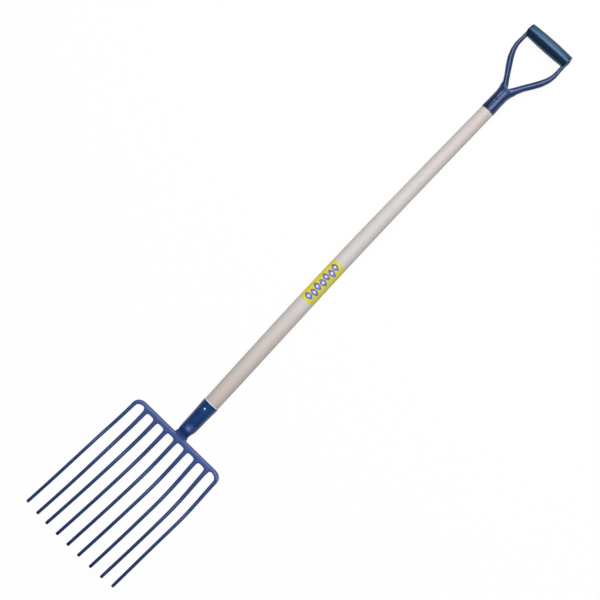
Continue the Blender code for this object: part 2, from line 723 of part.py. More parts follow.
def make_label(material, parent):
    """Sticker with rounded corners, wrapped round the front of the shaft."""
    bm = bmesh.new()
    half_length, half_width = LABEL_LENGTH / 2, LABEL_WIDTH / 2
    columns = [-half_width + LABEL_WIDTH * k / 12 for k in range(13)]
    layers = []
    for lift in (LABEL_LIFT, LABEL_LIFT + LABEL_THICKNESS):
        grid = []
        for across in columns:
            over = max(abs(across) - (half_width - LABEL_CORNER), 0.0)
            cut = LABEL_CORNER - math.sqrt(max(LABEL_CORNER ** 2 - over ** 2, 0.0))
            reach = max(half_length - cut, half_length - LABEL_CORNER)
            row = []
            for part in (-1.0, -0.5, 0.0, 0.5, 1.0):
                x = LABEL_MIDDLE_X + reach * part
                radius = shaft_radius(x) + lift
                angle = across / shaft_radius(LABEL_MIDDLE_X) + LABEL_TURN
                row.append(bm.verts.new((x, shaft_centre(x) + radius * math.sin(angle),
                                         radius * math.cos(angle))))
            grid.append(row)
        for a, b in zip(grid, grid[1:]):
            bridge(bm, a, b, closed=False)
        layers.append(grid)
    lower, upper = [
        [row[0] for row in grid] + grid[-1][1:-1] + [row[-1] for row in reversed(grid)]
        + list(reversed(grid[0][1:-1])) for grid in layers]
    bridge(bm, lower, upper)
    return finish_object("label", bm, material, parent)


def make_frame(name, parent, x, y, yaw):
    """Empty that shifts a group sideways and turns it about the upright through x."""
    frame = bpy.data.objects.new(name, None)
    bpy.context.collection.objects.link(frame)
    frame.parent = parent
    turn = Matrix.Rotation(yaw, 4, 'Z')
    frame.matrix_basis = Matrix.Translation((x, y, 0.0)) @ turn @ Matrix.Translation((-x, 0.0, 0.0))
    return frame


def centre_over_origin(fork, pieces):
    """Slide the fork over the ground until its box is centred over the origin."""
    bpy.context.view_layer.update()
    depsgraph = bpy.context.evaluated_depsgraph_get()
    corners = [piece.matrix_world @ vertex.co
               for piece in pieces for vertex in piece.evaluated_get(depsgraph).data.vertices]
    for axis in (0, 1):
        ends = [corner[axis] for corner in corners]
        fork.location[axis] = -(min(ends) + max(ends)) / 2


def build():
    """Make every piece and lay the fork on the ground, hollow side up."""
    clear_scene()
    blue_steel = make_material("blue_enamel", (0.035, 0.075, 0.235), 0.32, 0.1)
    yoke_steel = make_material("blue_enamel_yoke", (0.030, 0.055, 0.190), 0.28, 0.1)
    ash = make_material("ash_wood", (0.62, 0.57, 0.50), 0.60)
    zinc = make_material("zinc_plate", (0.72, 0.74, 0.76), 0.30, 1.0)
    navy = make_material("navy_plastic", (0.008, 0.030, 0.075), 0.22)
    paper = make_material("printed_label", (0.80, 0.72, 0.06), 0.45)

    fork = bpy.data.objects.new("stone_fork", None)
    bpy.context.collection.objects.link(fork)
    fork.location.z = SOCKET_MOUTH_RADIUS
    head_frame = make_frame("head_frame", fork, 0.0, HEAD_Y, HEAD_YAW)
    yoke_frame = make_frame("yoke_frame", fork, SLEEVE_MOUTH_X, YOKE_Y, YOKE_YAW)

    head = make_fork_head(blue_steel, head_frame)
    make_shaft(ash, fork, head_frame, yoke_frame)
    make_rivet("socket_rivet", SOCKET_RIVET_X, 0.0, SOCKET_RIVET_SEAT, RIVET_HEAD_HEIGHT,
               SOCKET_RIVET_BACK, zinc, head_frame)
    make_yoke(yoke_steel, yoke_frame)
    make_rivet("yoke_rivet", YOKE_RIVET_X, YOKE_RIVET_TURN, YOKE_RIVET_SEAT, YOKE_RIVET_HEAD_HEIGHT,
               YOKE_RIVET_BACK, yoke_steel.copy(), yoke_frame)
    grip = make_grip(navy, yoke_frame)
    make_grip_rod(zinc.copy(), yoke_frame)
    make_label(paper, fork)
    centre_over_origin(fork, (head, grip))


build()
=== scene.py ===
"""Stone fork: forged nine-tine head, ash shaft and steel Y handle with a barrel grip."""
import math

import bmesh
import bpy
from bpy.props import FloatProperty, FloatVectorProperty, PointerProperty
from mathutils import Matrix, Vector


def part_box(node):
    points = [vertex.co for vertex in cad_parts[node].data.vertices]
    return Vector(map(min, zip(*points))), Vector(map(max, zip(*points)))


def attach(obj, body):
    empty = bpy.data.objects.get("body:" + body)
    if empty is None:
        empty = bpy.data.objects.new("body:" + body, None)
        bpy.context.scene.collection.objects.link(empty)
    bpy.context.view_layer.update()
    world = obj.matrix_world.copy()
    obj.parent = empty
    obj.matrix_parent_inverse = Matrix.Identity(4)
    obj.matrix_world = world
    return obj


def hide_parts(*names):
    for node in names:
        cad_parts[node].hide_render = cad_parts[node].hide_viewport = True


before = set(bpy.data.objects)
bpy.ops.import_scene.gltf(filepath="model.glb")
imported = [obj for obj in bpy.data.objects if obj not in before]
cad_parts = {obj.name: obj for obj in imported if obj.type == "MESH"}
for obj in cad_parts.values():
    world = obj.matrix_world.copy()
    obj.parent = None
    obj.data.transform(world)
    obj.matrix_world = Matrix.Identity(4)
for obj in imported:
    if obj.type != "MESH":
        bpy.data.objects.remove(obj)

bl_info = {
    "name": "Stone fork",
    "version": (1, 0, 0),
    "blender": (4, 5, 0),
    "location": "3D View > Sidebar > Fork",
    "description": "Builds a nine-tine stone fork with its enamel, ash, plastic and label",
    "category": "Add Mesh",
}

# All sizes are in metres. Each piece is drawn about the shaft: zero lies in the socket's mouth,
# +X runs to the grip, +Y to the fork's left, +Z to its hollow front.

# Forged head
TINES = 9
LAST_TINE = TINES // 2
HEAD_Y = 0.0004
HEAD_YAW = math.radians(0.2)
SPREAD_LENGTH = 0.115
BAR_TOP_X = -0.0903
OUTER_SLOT_RISE = 0.0043
BAR_Z = 0.0065
BAR_TILT = 0.0016
BAR_CORNER_DROP = (0.0016, 0.0061, 0.0122)
BAR_CROWN = 0.0004
BAR_END_DIP = 0.0015
ROOT_HALF_WIDTH = 0.0062
OUTER_ROOT_HALF_WIDTH = 0.0032
ROOT_SQUARENESS = 1.5
ROOT_BLEND_LENGTH = 0.010
OUTER_TINE_THINNER = 0.0005
TINE_TAPER_LENGTH = 0.105
OUTER_TINE_SHORTER = 0.0048
BEND_START = 0.025
BEND_LENGTH = 0.115
SWEEP_ANGLE = math.radians(8)
TINE_SIDE_BOW = {4: 0.0014, -4: 0.0024}
TINE_SIDE_DRIFT = {4: -0.0024, 3: -0.0030, -2: -0.0022, -3: -0.0018, -4: -0.0004}
TINE_STATIONS = (0.0045, 0.012, 0.040, 0.070, 0.100, 0.130, 0.165, 0.205, 0.250)
PATH_STEP = 0.001
TIP_EDGE = 0.0012
TIP_PART = 0.88

# Neck and socket: x, height of the centre, half width, half depth, squareness of the section
NECK_SECTIONS = (
    (-0.0880, 0.0068, 0.0156, 0.0040, 3.4),
    (-0.0842, 0.0072, 0.0134, 0.0040, 3.2),
    (-0.0805, 0.0082, 0.0134, 0.0047, 2.8),
    (-0.0765, 0.0094, 0.0140, 0.0072, 2.5),
    (-0.0720, 0.0060, 0.0151, 0.0121, 2.2),
    (-0.0675, 0.0015, 0.0161, 0.0159, 2.0),
    (-0.0630, 0.0000, 0.0166, 0.0166, 2.0),
    (-0.0540, 0.0000, 0.0167, 0.0167, 2.0),
    (-0.0300, 0.0000, 0.0171, 0.0171, 2.0),
    (-0.0100, 0.0000, 0.0180, 0.0180, 2.0),
    (-0.0014, 0.0000, 0.0186, 0.0186, 2.0),
    (0.0002, 0.0000, 0.0184, 0.0184, 2.0),
    (0.0012, 0.0000, 0.0178, 0.0178, 2.0),
)
# Middle of the painted highlight on the neck's hump
HUMP_SHEEN_PLACE = (-0.0655, -0.0040, 0.0150)
SOCKET_MOUTH_RADIUS = 0.0186
SOCKET_BORE = (
    (0.0010, 0.0171), (-0.0110, 0.0167), (-0.0340, 0.0157), (-0.0560, 0.0149), (-0.0585, 0.0148))

# Shaft: x and radius of the turned profile, and how far it bows to the left
SHAFT_PROFILE = (
    (-0.0540, 0.0130), (-0.0525, 0.0141), (-0.0300, 0.0154), (0.0015, 0.0165), (0.0018, 0.0169),
    (0.0035, 0.0172), (0.060, 0.0176), (0.130, 0.0178), (0.200, 0.0178), (0.290, 0.0176),
    (0.380, 0.0172), (0.480, 0.0167), (0.580, 0.0160), (0.660, 0.0156), (0.735, 0.0152),
    (0.790, 0.0148), (0.8150, 0.0147), (0.8170, 0.0142), (0.8173, 0.0130), (0.8575, 0.0127),
    (0.8590, 0.0116),
)
SHAFT_BOW = 0.0041
BOW_POWER = 1.2
SHAFT_STATION = 0.012

# Yoke: x, half width, half depth and squareness of the sleeve that holds the shaft's upper end
YOKE_Y = 0.0010
YOKE_YAW = math.radians(-0.15)
SLEEVE_MOUTH_X = 0.8173
SLEEVE_SECTIONS = (
    (0.8173, 0.0153, 0.0153, 2.2),
    (0.8195, 0.0152, 0.0152, 2.5),
    (0.8440, 0.0144, 0.0144, 2.7),
    (0.8590, 0.0147, 0.0143, 2.6),
    (0.8675, 0.0161, 0.0134, 2.3),
)
SLEEVE_BORE = ((0.8173, 0.0138), (0.8380, 0.0135), (0.8600, 0.0133), (0.8618, 0.0132))
CROTCH_X = 0.8757
CROTCH_SIDE_X = 0.8737
CROTCH_HALF_WIDTH = 0.0185
CROTCH_HALF_DEPTH = 0.0122
CROTCH_EDGE_Z = 0.0108
CROTCH_CROWN = 0.0005
CROTCH_SHIFT = 0.0009
CROTCH_SHIFT_REACH = 0.022
# Arms: x, distance from the middle, half width, half depth and squareness of the section
ARM_END = (
    (0.9590, 0.0510, 0.0050, 0.0069, 2.2),
    (0.9730, 0.0507, 0.0043, 0.0065, 2.6),
    (0.9860, 0.0504, 0.0041, 0.0061, 3.4),
)
LEFT_ARM = (
    (0.8862, 0.0142, 0.0065, 0.0092, 2.0),
    (0.8985, 0.0216, 0.0061, 0.0082, 2.0),
    (0.9130, 0.0312, 0.0066, 0.0076, 2.0),
    (0.9290, 0.0410, 0.0066, 0.0073, 2.0),
    (0.9445, 0.0479, 0.0057, 0.0071, 2.0),
    *ARM_END,
)
# The right arm is a little broader at its root
RIGHT_ARM = (
    (0.8862, 0.0151, 0.0074, 0.0092, 2.0),
    (0.8985, 0.0223, 0.0068, 0.0082, 2.0),
    (0.9130, 0.0317, 0.0071, 0.0076, 2.0),
    (0.9290, 0.0414, 0.0070, 0.0073, 2.0),
    (0.9445, 0.0482, 0.0060, 0.0071, 2.0),
    *ARM_END,
)
ARM_DROP_X = 0.9730
EYE_RADIUS = 0.0060
EYE_TURNS = (0, 35, 65, 85)
ARM_ANGLES = (-140, -95, -50, 0, 50, 95, 140, 180)
# Lapped seam: x, the sleeve's half width, half depth and squareness, the strip's height and root
LAP_SECTIONS = (
    (0.8176, 0.0153, 0.0153, 2.3, 0.0007, 0.0006),
    (0.8440, 0.0144, 0.0144, 2.7, 0.0007, 0.0005),
    (0.8590, 0.0147, 0.0143, 2.6, 0.0007, 0.0006),
    (0.8675, 0.0162, 0.0134, 2.3, 0.0006, 0.0012),
    (0.8725, 0.0180, 0.0124, 2.1, -0.0002, 0.0014),
)
LAP_ANGLES = (math.radians(-2), math.radians(25))
LAP_FALL = 0.4
LAP_BEVEL = 0.00022
# Painted shadow along its two edges: place beside the middle and darkness
LAP_SHADOW_LINES = ((-0.0005, 0.8), (0.0063, 0.6))

# Barrel grip and its rod
GRIP_X = 0.9975
GRIP_EDGE = 0.0014
GRIP_STATIONS = 12
SLOT_Y = 0.0458
SLOT_RADIUS = 0.0066
SLOT_MOUTH_X = -0.020
SLOT_OUTER_Y = 0.070
ROD_RADIUS = 0.0030
ROD_SEAT_Y = 0.0548
ROD_HEAD_RADIUS = 0.0046
ROD_HEAD_HEIGHT = 0.0010

# Rivets: seats at the front and back, then height and radius of the head
SOCKET_RIVET_X = -0.0158
SOCKET_RIVET = (0.0179, 0.0178, 0.0015, 0.0030)
YOKE_RIVET_X = 0.8460
YOKE_RIVET_TURN = math.radians(12)
YOKE_RIVET = (0.0153, 0.0143, 0.0008, 0.0029)
RIVET_RADIUS = 0.0022
RIVET_FLARE = 0.0008
RIVET_RIM = 0.0002
RIVET_BUTTON_HEIGHT = 0.0004
RIVET_BUTTON_RADIUS = 0.00253

# Label
LABEL_MIDDLE_X = 0.3345
LABEL_CORNER = 0.0150
LABEL_LIFT = 0.0001
LABEL_THICKNESS = 0.00016
LABEL_TURN = math.radians(-5)

# Stoved enamel
ENAMEL_ROUGHNESS = 0.26
ENAMEL_SPECULAR = 0.65
HEAD_TINT = (0.45, 0.52, 1.0)
YOKE_TINT = (0.6, 0.72, 1.0)

# Cages of n corners shrink by this much when they are subdivided
SHRINK_8 = 0.909
SHRINK_12 = 0.957
# How crisp these edges stay then: 1 is sharp
TIP_CREASE = 0.7
SOCKET_BORE_CREASE = 0.9
SLEEVE_MOUTH_CREASE = 0.8
SLEEVE_BORE_CREASE = 1.0
CROTCH_CREASE = 0.5
EYE_CREASE = 0.5
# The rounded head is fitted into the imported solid's box by this scale
HEAD_FIT = (0.9999, 0.9993, 0.9999)

# Light of the world on the object, where 1 is white
WORLD_STRENGTH = 0.24

# Camera: place from the fork's zero, its right and down directions, and its lens
CAMERA_PLACE = (0.30974, -0.57027, 3.44472)
CAMERA_RIGHT = (0.68575, -0.71647, -0.12812)
CAMERA_DOWN = (-0.72777, -0.67726, -0.10802)
CAMERA_LENS = 103.2


def linear(code):
    """Linear colour of an sRGB hex code."""
    values = [int(code[k:k + 2], 16) / 255 for k in (1, 3, 5)]
    return tuple(v / 12.92 if v <= 0.04045 else ((v + 0.055) / 1.055) ** 2.4 for v in values)


def rgba(colour):
    """Colour with full alpha for a node socket."""
    return (*colour, 1.0)


def size_prop(name, description, default):
    """Length property of the sidebar."""
    return FloatProperty(name=name, description=description, default=default, unit='LENGTH', precision=4)


def colour_prop(name, description, code):
    """Colour property of the sidebar, from an sRGB hex code."""
    return FloatVectorProperty(
        name=name, description=description, default=linear(code), subtype='COLOR', min=0.0, max=1.0)


class ForkSizes(bpy.types.PropertyGroup):
    """Sizes that a user may change."""
    tine_pitch: size_prop("Tine pitch", "Distance between the roots of two tines", 0.0290)
    tine_spread: size_prop("Tine spread", "How much the pitch grows below the bend", 0.0013)
    tine_length: size_prop("Tine length", "Length of the middle tine along its curve", 0.3080)
    tine_root_radius: size_prop("Tine root radius", "Radius of a tine at the crossbar", 0.0048)
    tine_tip_radius: size_prop("Tine tip radius", "Radius of a tine at its tip", 0.00345)
    bend_angle: FloatProperty(
        name="Bend", description="Angle of the tines' bend below the crossbar",
        default=math.radians(23.5), subtype='ANGLE')
    bar_height: size_prop("Crossbar height", "Height of the crossbar over the slots", 0.0129)
    bar_thickness: size_prop("Crossbar thickness", "Thickness of the crossbar", 0.009)
    grip_half_length: size_prop("Grip half length", "Half of the barrel grip's length", 0.0529)
    grip_middle_radius: size_prop("Grip middle radius", "Radius of the grip at its middle", 0.0157)
    grip_end_radius: size_prop("Grip end radius", "Radius of the grip at its ends", 0.0139)
    label_length: size_prop("Label length", "Length of the label along the shaft", 0.1023)
    label_width: size_prop("Label width", "Width of the label round the shaft", 0.0460)


class ForkColours(bpy.types.PropertyGroup):
    """Colours that a user may change."""
    head_blue: colour_prop("Head enamel", "Blue enamel of the forged head", "#0D386C")
    yoke_blue: colour_prop("Yoke enamel", "Darker blue enamel of the yoke", "#18305E")
    grip_navy: colour_prop("Grip plastic", "Navy plastic of the grip", "#011D36")
    ash_pale: colour_prop("Ash early wood", "Pale wood between the growth lines", "#DED9D6")
    ash_dark: colour_prop("Ash late wood", "Growth lines of the ash", "#C1B8B4")
    label_yellow: colour_prop("Label yellow", "Ground of the printed label", "#EAD934")
    label_green: colour_prop("Label green", "Green tint along the label's right side", "#D6D850")
    label_violet: colour_prop("Label violet", "Printed lozenges of the label", "#757CD2")


def box_centre(node):
    """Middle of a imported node's box."""
    low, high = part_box(node)
    return (Vector(low) + Vector(high)) / 2


def fork_zero():
    """The fork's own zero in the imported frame, found from the socket rivet's place."""
    rivet = box_centre("socket_rivet")
    side = HEAD_Y + math.sin(HEAD_YAW) * SOCKET_RIVET_X
    return Vector((rivet.x - SOCKET_RIVET_X, rivet.y - side, SOCKET_MOUTH_RADIUS))


def turned_frame(x, y, yaw):
    """Matrix from a group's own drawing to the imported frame: a shift and a turn about the upright at x."""
    turn = Matrix.Rotation(yaw, 4, 'Z') @ Matrix.Translation((-x, 0.0, 0.0))
    return Matrix.Translation(fork_zero()) @ Matrix.Translation((x, y, 0.0)) @ turn


def head_frame():
    """Frame of the head and the socket's rivet."""
    return turned_frame(0.0, HEAD_Y, HEAD_YAW)


def yoke_frame():
    """Frame of the yoke, its rivet, the grip and its rod."""
    return turned_frame(SLEEVE_MOUTH_X, YOKE_Y, YOKE_YAW)


def superellipse(angle, half_width, half_depth, power):
    """Point of a rounded rectangle: power 2 is an ellipse, higher powers are squarer."""
    side, front = math.sin(angle), math.cos(angle)
    reach = (abs(side) ** power + abs(front) ** power) ** (-1.0 / power)
    return half_width * side * reach, half_depth * front * reach


def smooth_step(value):
    """Ease from 0 to 1 as value goes from 0 to 1."""
    value = min(max(value, 0.0), 1.0)
    return value * value * (3.0 - 2.0 * value)


def verts_of(parts):
    """The corners among an operator's results."""
    return [part for part in parts if isinstance(part, bmesh.types.BMVert)]


def faces_of(parts):
    """The faces among an operator's results."""
    return [part for part in parts if isinstance(part, bmesh.types.BMFace)]


def grow(bm, faces, spot):
    """Extrude a patch of faces one step and move each of its corners to its spot."""
    made = bmesh.ops.extrude_face_region(bm, geom=faces)["geom"]
    bmesh.ops.delete(bm, geom=faces, context='FACES')
    for vertex in verts_of(made):
        vertex.co = spot(vertex)
    return faces_of(made)


def crease_around(bm, faces, amount):
    """Keep the outline of a patch crisp under subdivision."""
    layer = bm.edges.layers.float["crease_edge"]
    inside = set(faces)
    for face in faces:
        for edge in face.edges:
            if any(other not in inside for other in edge.link_faces):
                edge[layer] = amount
                edge.smooth = False


def new_object(name, bm):
    """Object whose mesh is a finished bmesh."""
    mesh = bpy.data.meshes.new(name)
    bm.to_mesh(mesh)
    bm.free()
    item = bpy.data.objects.new(name, mesh)
    bpy.context.collection.objects.link(item)
    return item


def settle(piece):
    """Turn the modifiers' result into the piece's own mesh."""
    depsgraph = bpy.context.evaluated_depsgraph_get()
    mesh = bpy.data.meshes.new_from_object(piece.evaluated_get(depsgraph), depsgraph=depsgraph)
    piece.modifiers.clear()
    piece.data = mesh


def finish_piece(name, bm, matrix, material, replaced=(), levels=0, sharp=None):
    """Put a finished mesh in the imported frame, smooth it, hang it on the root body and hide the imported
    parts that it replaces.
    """
    bmesh.ops.transform(bm, matrix=matrix, verts=bm.verts)
    bmesh.ops.recalc_face_normals(bm, faces=bm.faces)
    piece = new_object(name, bm)
    for face in piece.data.polygons:
        face.use_smooth = True
    if sharp is not None:
        piece.data.set_sharp_from_angle(angle=math.radians(sharp))
    piece.data.materials.append(material)
    if levels:
        rounding = piece.modifiers.new("rounding", 'SUBSURF')
        rounding.levels = levels
        rounding.render_levels = levels
        settle(piece)
    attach(piece, "root")
    if replaced:
        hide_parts(*replaced)
    return piece


def arc(place, height, radius, degrees, base=0.0):
    """Points (place along the axis, radius) of a rounding that rises from the level at 0 degrees."""
    turns = [math.radians(turn) for turn in degrees]
    return [(place + height * math.sin(turn), base + radius * math.cos(turn)) for turn in turns]


def dome(place, height, radius):
    """Points of a peened head, from its rim to its middle."""
    return [*arc(place, height, radius, (0, 15, 30, 45, 60, 75)), (place + height, 0.0)]


def spun(profile, axis, steps):
    """New bmesh: a chain of (place along the axis, radius) points, turned about the X, Y or Z axis."""
    bm = bmesh.new()
    away = {'X': (0, 0, 1), 'Y': (0, 0, 1), 'Z': (1, 0, 0)}[axis]
    along = {'X': (1, 0, 0), 'Y': (0, 1, 0), 'Z': (0, 0, 1)}[axis]
    chain = [bm.verts.new(Vector(along) * place + Vector(away) * radius) for place, radius in profile]
    edges = [bm.edges.new(pair) for pair in zip(chain, chain[1:])]
    bmesh.ops.spin(bm, geom=chain + edges, cent=(0, 0, 0), axis=along, dvec=(0, 0, 0),
                   angle=2 * math.pi, steps=steps, use_merge=True)
    bmesh.ops.remove_doubles(bm, verts=bm.verts, dist=1e-6)
    return bm


# Materials


def plug(tree, node, inputs):
    """Give a node's inputs values, or links to sockets or to other nodes' first results."""
    for name, value in inputs.items():
        if isinstance(value, bpy.types.Node):
            value = next(result for result in value.outputs if result.enabled)
        if isinstance(value, bpy.types.NodeSocket):
            tree.links.new(value, node.inputs[name])
        else:
            node.inputs[name].default_value = value


def add(tree, kind, inputs=None, **settings):
    """Add a node with its own settings and what its inputs take."""
    node = tree.nodes.new(kind)
    for name, value in settings.items():
        setattr(node, name, value)
    plug(tree, node, inputs or {})
    return node


def new_material(name, roughness, metallic=0.0, specular=0.5, tint=(1.0, 1.0, 1.0)):
    """Material with a Principled shader; returns the material, its tree and the shader."""
    material = bpy.data.materials.new(name)
    material.use_nodes = True
    tree = material.node_tree
    shader = tree.nodes["Principled BSDF"]
    plug(tree, shader, {"Roughness": roughness, "Metallic": metallic, "Specular IOR Level": specular,
                        "Specular Tint": rgba(tint)})
    return material, tree, shader


def object_place(tree, scale=(1, 1, 1), turn=(0, 0, 0), shift=(0, 0, 0)):
    """Object coordinates through a Mapping node."""
    place = add(tree, "ShaderNodeTexCoord").outputs["Object"]
    return add(tree, "ShaderNodeMapping", {
        "Vector": place, "Scale": scale, "Rotation": turn, "Location": shift})


def layered(tree, ground, *layers):
    """Colours laid over a ground one after another, each as far as its mask says."""
    for mask, colour in layers:
        ground = add(tree, "ShaderNodeMix", {
            "Factor": mask, "A": ground, "B": rgba(colour)}, data_type='RGBA')
    return ground


def shade(colour, amount):
    """The same colour, lighter or darker."""
    return tuple(amount * part for part in colour)


def per_mm(size):
    """Texture scale whose features are about this many millimetres apart."""
    return 1000.0 / size


def enamel(name, colour, tint):
    """Stoved enamel, dipped on steel: glossy with a faint orange peel, and darker where it is thin."""
    material, tree, shader = new_material(name, ENAMEL_ROUGHNESS, specular=ENAMEL_SPECULAR, tint=tint)
    place = object_place(tree)
    # The coat's thickness wanders over some 20 mm
    cloud = add(tree, "ShaderNodeTexNoise", {
        "Vector": place, "Scale": per_mm(20), "Detail": 3.0, "Roughness": 0.55})
    thick = add(tree, "ShaderNodeMapRange", {"Value": cloud, "From Min": 0.3, "From Max": 0.7})
    pale = tuple(min(part + 0.003, 1.0) for part in shade(colour, 1.22))
    # Forging marks of about 7 mm lie under the coat, orange peel of 1.4 mm on it
    marks = add(tree, "ShaderNodeTexNoise", {
        "Vector": place, "Scale": per_mm(7), "Detail": 2.0})
    peel = add(tree, "ShaderNodeTexNoise", {"Vector": place, "Scale": per_mm(1.4), "Detail": 1.0})
    lower = add(tree, "ShaderNodeBump", {"Height": marks, "Strength": 0.25, "Distance": 0.0004})
    upper = add(tree, "ShaderNodeBump", {
        "Height": peel, "Strength": 0.12, "Distance": 0.0001, "Normal": lower})
    gloss = add(tree, "ShaderNodeMapRange", {
        "Value": peel, "To Min": ENAMEL_ROUGHNESS - 0.05, "To Max": ENAMEL_ROUGHNESS + 0.08})
    plug(tree, shader, {
        "Base Color": layered(tree, rgba(shade(colour, 0.72)), (thick, pale)), "Normal": upper,
        "Roughness": gloss})
    return material


def mark_coat(tree, matt_shade, *layers):
    """Lay marks over the enamel, and take its gloss away as far as its second argument says, so that painted
    shade there looks matt and near black.
    """
    shader = tree.nodes["Principled BSDF"]
    coat = shader.inputs["Base Color"].links[0].from_socket
    gloss = add(tree, "ShaderNodeMapRange", {"Value": matt_shade, "To Min": ENAMEL_SPECULAR, "To Max": 0.0})
    plug(tree, shader, {"Base Color": layered(tree, coat, *layers), "Specular IOR Level": gloss})


def head_sheen_and_shade(tree):
    """Painted light on the head: a near-white highlight on the socket's lip, pale sheen over the roots and
    the neck's hump, shade that darkens the tines to their tips, and near-black shade on the tips' ends.
    """
    place = object_place(tree, shift=tuple(-fork_zero()))
    x = add(tree, "ShaderNodeSeparateXYZ", {"Vector": place}).outputs["X"]
    from_hump_sheen = add(tree, "ShaderNodeVectorMath", {0: place, 1: HUMP_SHEEN_PLACE}, operation='DISTANCE')
    # The painted sheen of the roots begins at the crossbar's top
    root_sheen = add(tree, "ShaderNodeMapRange", {
        "Value": x, "From Min": -0.080, "From Max": -0.094, "To Max": 0.3})
    # Lip highlight, root sheen, hump highlight, tine shade and tip shade, all painted; each mark grows from
    # its start to its end, up to its strength
    marks = (
        # Painted highlight: the socket's rounded lip painted near-white
        (x, -0.0008, -0.0006, 1.0, "#ECE8F8"),
        # Painted sheen: pale violet over the crossbar and the tines' roots
        (x, -0.190, -0.114, root_sheen, "#6A73B4"),
        # Painted highlight: a soft pale violet patch on the neck's hump
        (from_hump_sheen, 0.0110, 0.0045, 0.3, "#6A73B4"),
        # Painted shade: the tines darken towards their tips
        (x, -0.160, -0.360, 0.4, "#050F24"),
        # Painted shade: the tips' end faces near black
        (x, -0.3800, -0.3860, 0.9, "#03060C"),
    )
    layers = [(add(tree, "ShaderNodeMapRange", {
        "Value": value, "From Min": start, "From Max": end, "To Max": strength}), linear(code))
        for value, start, end, strength, code in marks]
    # The painted shade on the tips' end faces also goes matt
    mark_coat(tree, layers[-1][0], *layers)


def paint_lap_shadow(tree):
    """Painted shadow along both edges of the sleeve's lapped seam, broken up in patches."""
    zero = fork_zero() + Vector((0.0, YOKE_Y, 0.0))
    place = add(tree, "ShaderNodeSeparateXYZ", {"Vector": object_place(tree, shift=tuple(-zero))}).outputs
    patches = add(tree, "ShaderNodeTexNoise", {
        "Vector": object_place(tree), "Scale": per_mm(4), "Detail": 2.0})
    # Only on the front of the sleeve, up to the crotch, and broken up every 4 mm or so
    here = 1.0
    for value, start, end in (
            (place["X"], CROTCH_X - 0.001, CROTCH_X - 0.004), (place["Z"], 0.0, 0.003), (patches, 0.2, 0.48)):
        here = add(tree, "ShaderNodeMapRange", {
            "Value": value, "From Min": start, "From Max": end, "To Max": here})
    # A line is darkest within 0.6 mm of its place and ends 1.4 mm from it
    lines = {}
    for number, (side, darkness) in enumerate(LAP_SHADOW_LINES):
        off = add(tree, "ShaderNodeMath", {0: place["Y"], 1: side}, operation='SUBTRACT')
        lines[number] = add(tree, "ShaderNodeMapRange", {
            "Value": add(tree, "ShaderNodeMath", {0: off}, operation='ABSOLUTE'),
            "From Min": 0.0014, "From Max": 0.0006, "To Max": darkness})
    line = add(tree, "ShaderNodeMath", lines, operation='MAXIMUM')
    # Painted shadow: near black and matt along both edges of the lap
    shadow_lines = add(tree, "ShaderNodeMath", {0: here, 1: line}, operation='MULTIPLY')
    mark_coat(tree, shadow_lines, (shadow_lines, linear("#03060C")))


def ash(pale, dark):
    """Turned and sanded ash: long growth lines, fine open pores and a thin dull varnish."""
    material, tree, shader = new_material("turned_ash", 0.5)
    # The tree's heart lies 32 mm beside the shaft, so the growth rings cross it as long arcs
    heart = object_place(tree, shift=(0.0, 0.032, -0.021), turn=(0, math.radians(0.35), math.radians(0.5)))
    sway = add(tree, "ShaderNodeTexNoise", {
        "Vector": object_place(tree, scale=(3.0, 30.0, 30.0)), "Scale": 1.0, "Detail": 2.0}).outputs["Color"]
    sway = add(tree, "ShaderNodeVectorMath", {0: sway, "Scale": 0.006}, operation='SCALE')
    swayed = add(tree, "ShaderNodeVectorMath", {0: heart, 1: sway}, operation='ADD')
    # Rings are 2.8 mm apart: a wave's length is 0.314 over its scale
    rings = add(tree, "ShaderNodeTexWave", {
        "Vector": swayed, "Scale": 0.314 / 0.0028, "Distortion": 1.2, "Detail": 2.0,
        "Detail Scale": 0.4}, wave_type='RINGS', rings_direction='X', wave_profile='SAW').outputs["Fac"]
    late = add(tree, "ShaderNodeMapRange", {"Value": rings, "From Min": 0.35, "To Max": 0.75})
    # Pores are drawn 0.9 mm wide and 20 mm long, coarser than real ones, so that they show
    pores = add(tree, "ShaderNodeTexNoise", {
        "Vector": object_place(tree, scale=(50.0, 1100.0, 1100.0)), "Scale": 1.0, "Detail": 3.0,
        "Roughness": 0.65})
    pitted = add(tree, "ShaderNodeMapRange", {
        "Value": pores, "From Min": 0.56, "From Max": 0.72, "To Max": 0.55})
    # Broad stains of 60 mm, stretched along the shaft
    stain = add(tree, "ShaderNodeTexNoise", {
        "Vector": object_place(tree, scale=(6.0, 40.0, 40.0)), "Scale": 1.0, "Detail": 2.0})
    stained = add(tree, "ShaderNodeMapRange", {
        "Value": stain, "From Min": 0.35, "From Max": 0.75, "To Max": 0.35})
    # Painted shade: the wood is darker towards both of its ends, 0.45 m from the middle, where the light
    # falls off
    place = add(tree, "ShaderNodeSeparateXYZ", {"Vector": object_place(tree)}).outputs["X"]
    off = add(tree, "ShaderNodeMath", {0: place, 1: 0.12}, operation='SUBTRACT')
    end_shade = add(tree, "ShaderNodeMapRange", {
        "Value": add(tree, "ShaderNodeMath", {0: off}, operation='ABSOLUTE'),
        "From Min": 0.15, "From Max": 0.45, "To Max": 0.4})
    wood = layered(tree, rgba(pale), (late, dark), (pitted, shade(dark, 0.6)),
                   (stained, linear("#CDC2B8")), (end_shade, linear("#B9A59C")))
    bump = add(tree, "ShaderNodeBump", {"Height": pores, "Strength": 0.3, "Distance": 0.00015})
    rough = add(tree, "ShaderNodeMapRange", {"Value": pores, "To Min": 0.42, "To Max": 0.62})
    plug(tree, shader, {"Base Color": wood, "Normal": bump, "Roughness": rough})
    return material


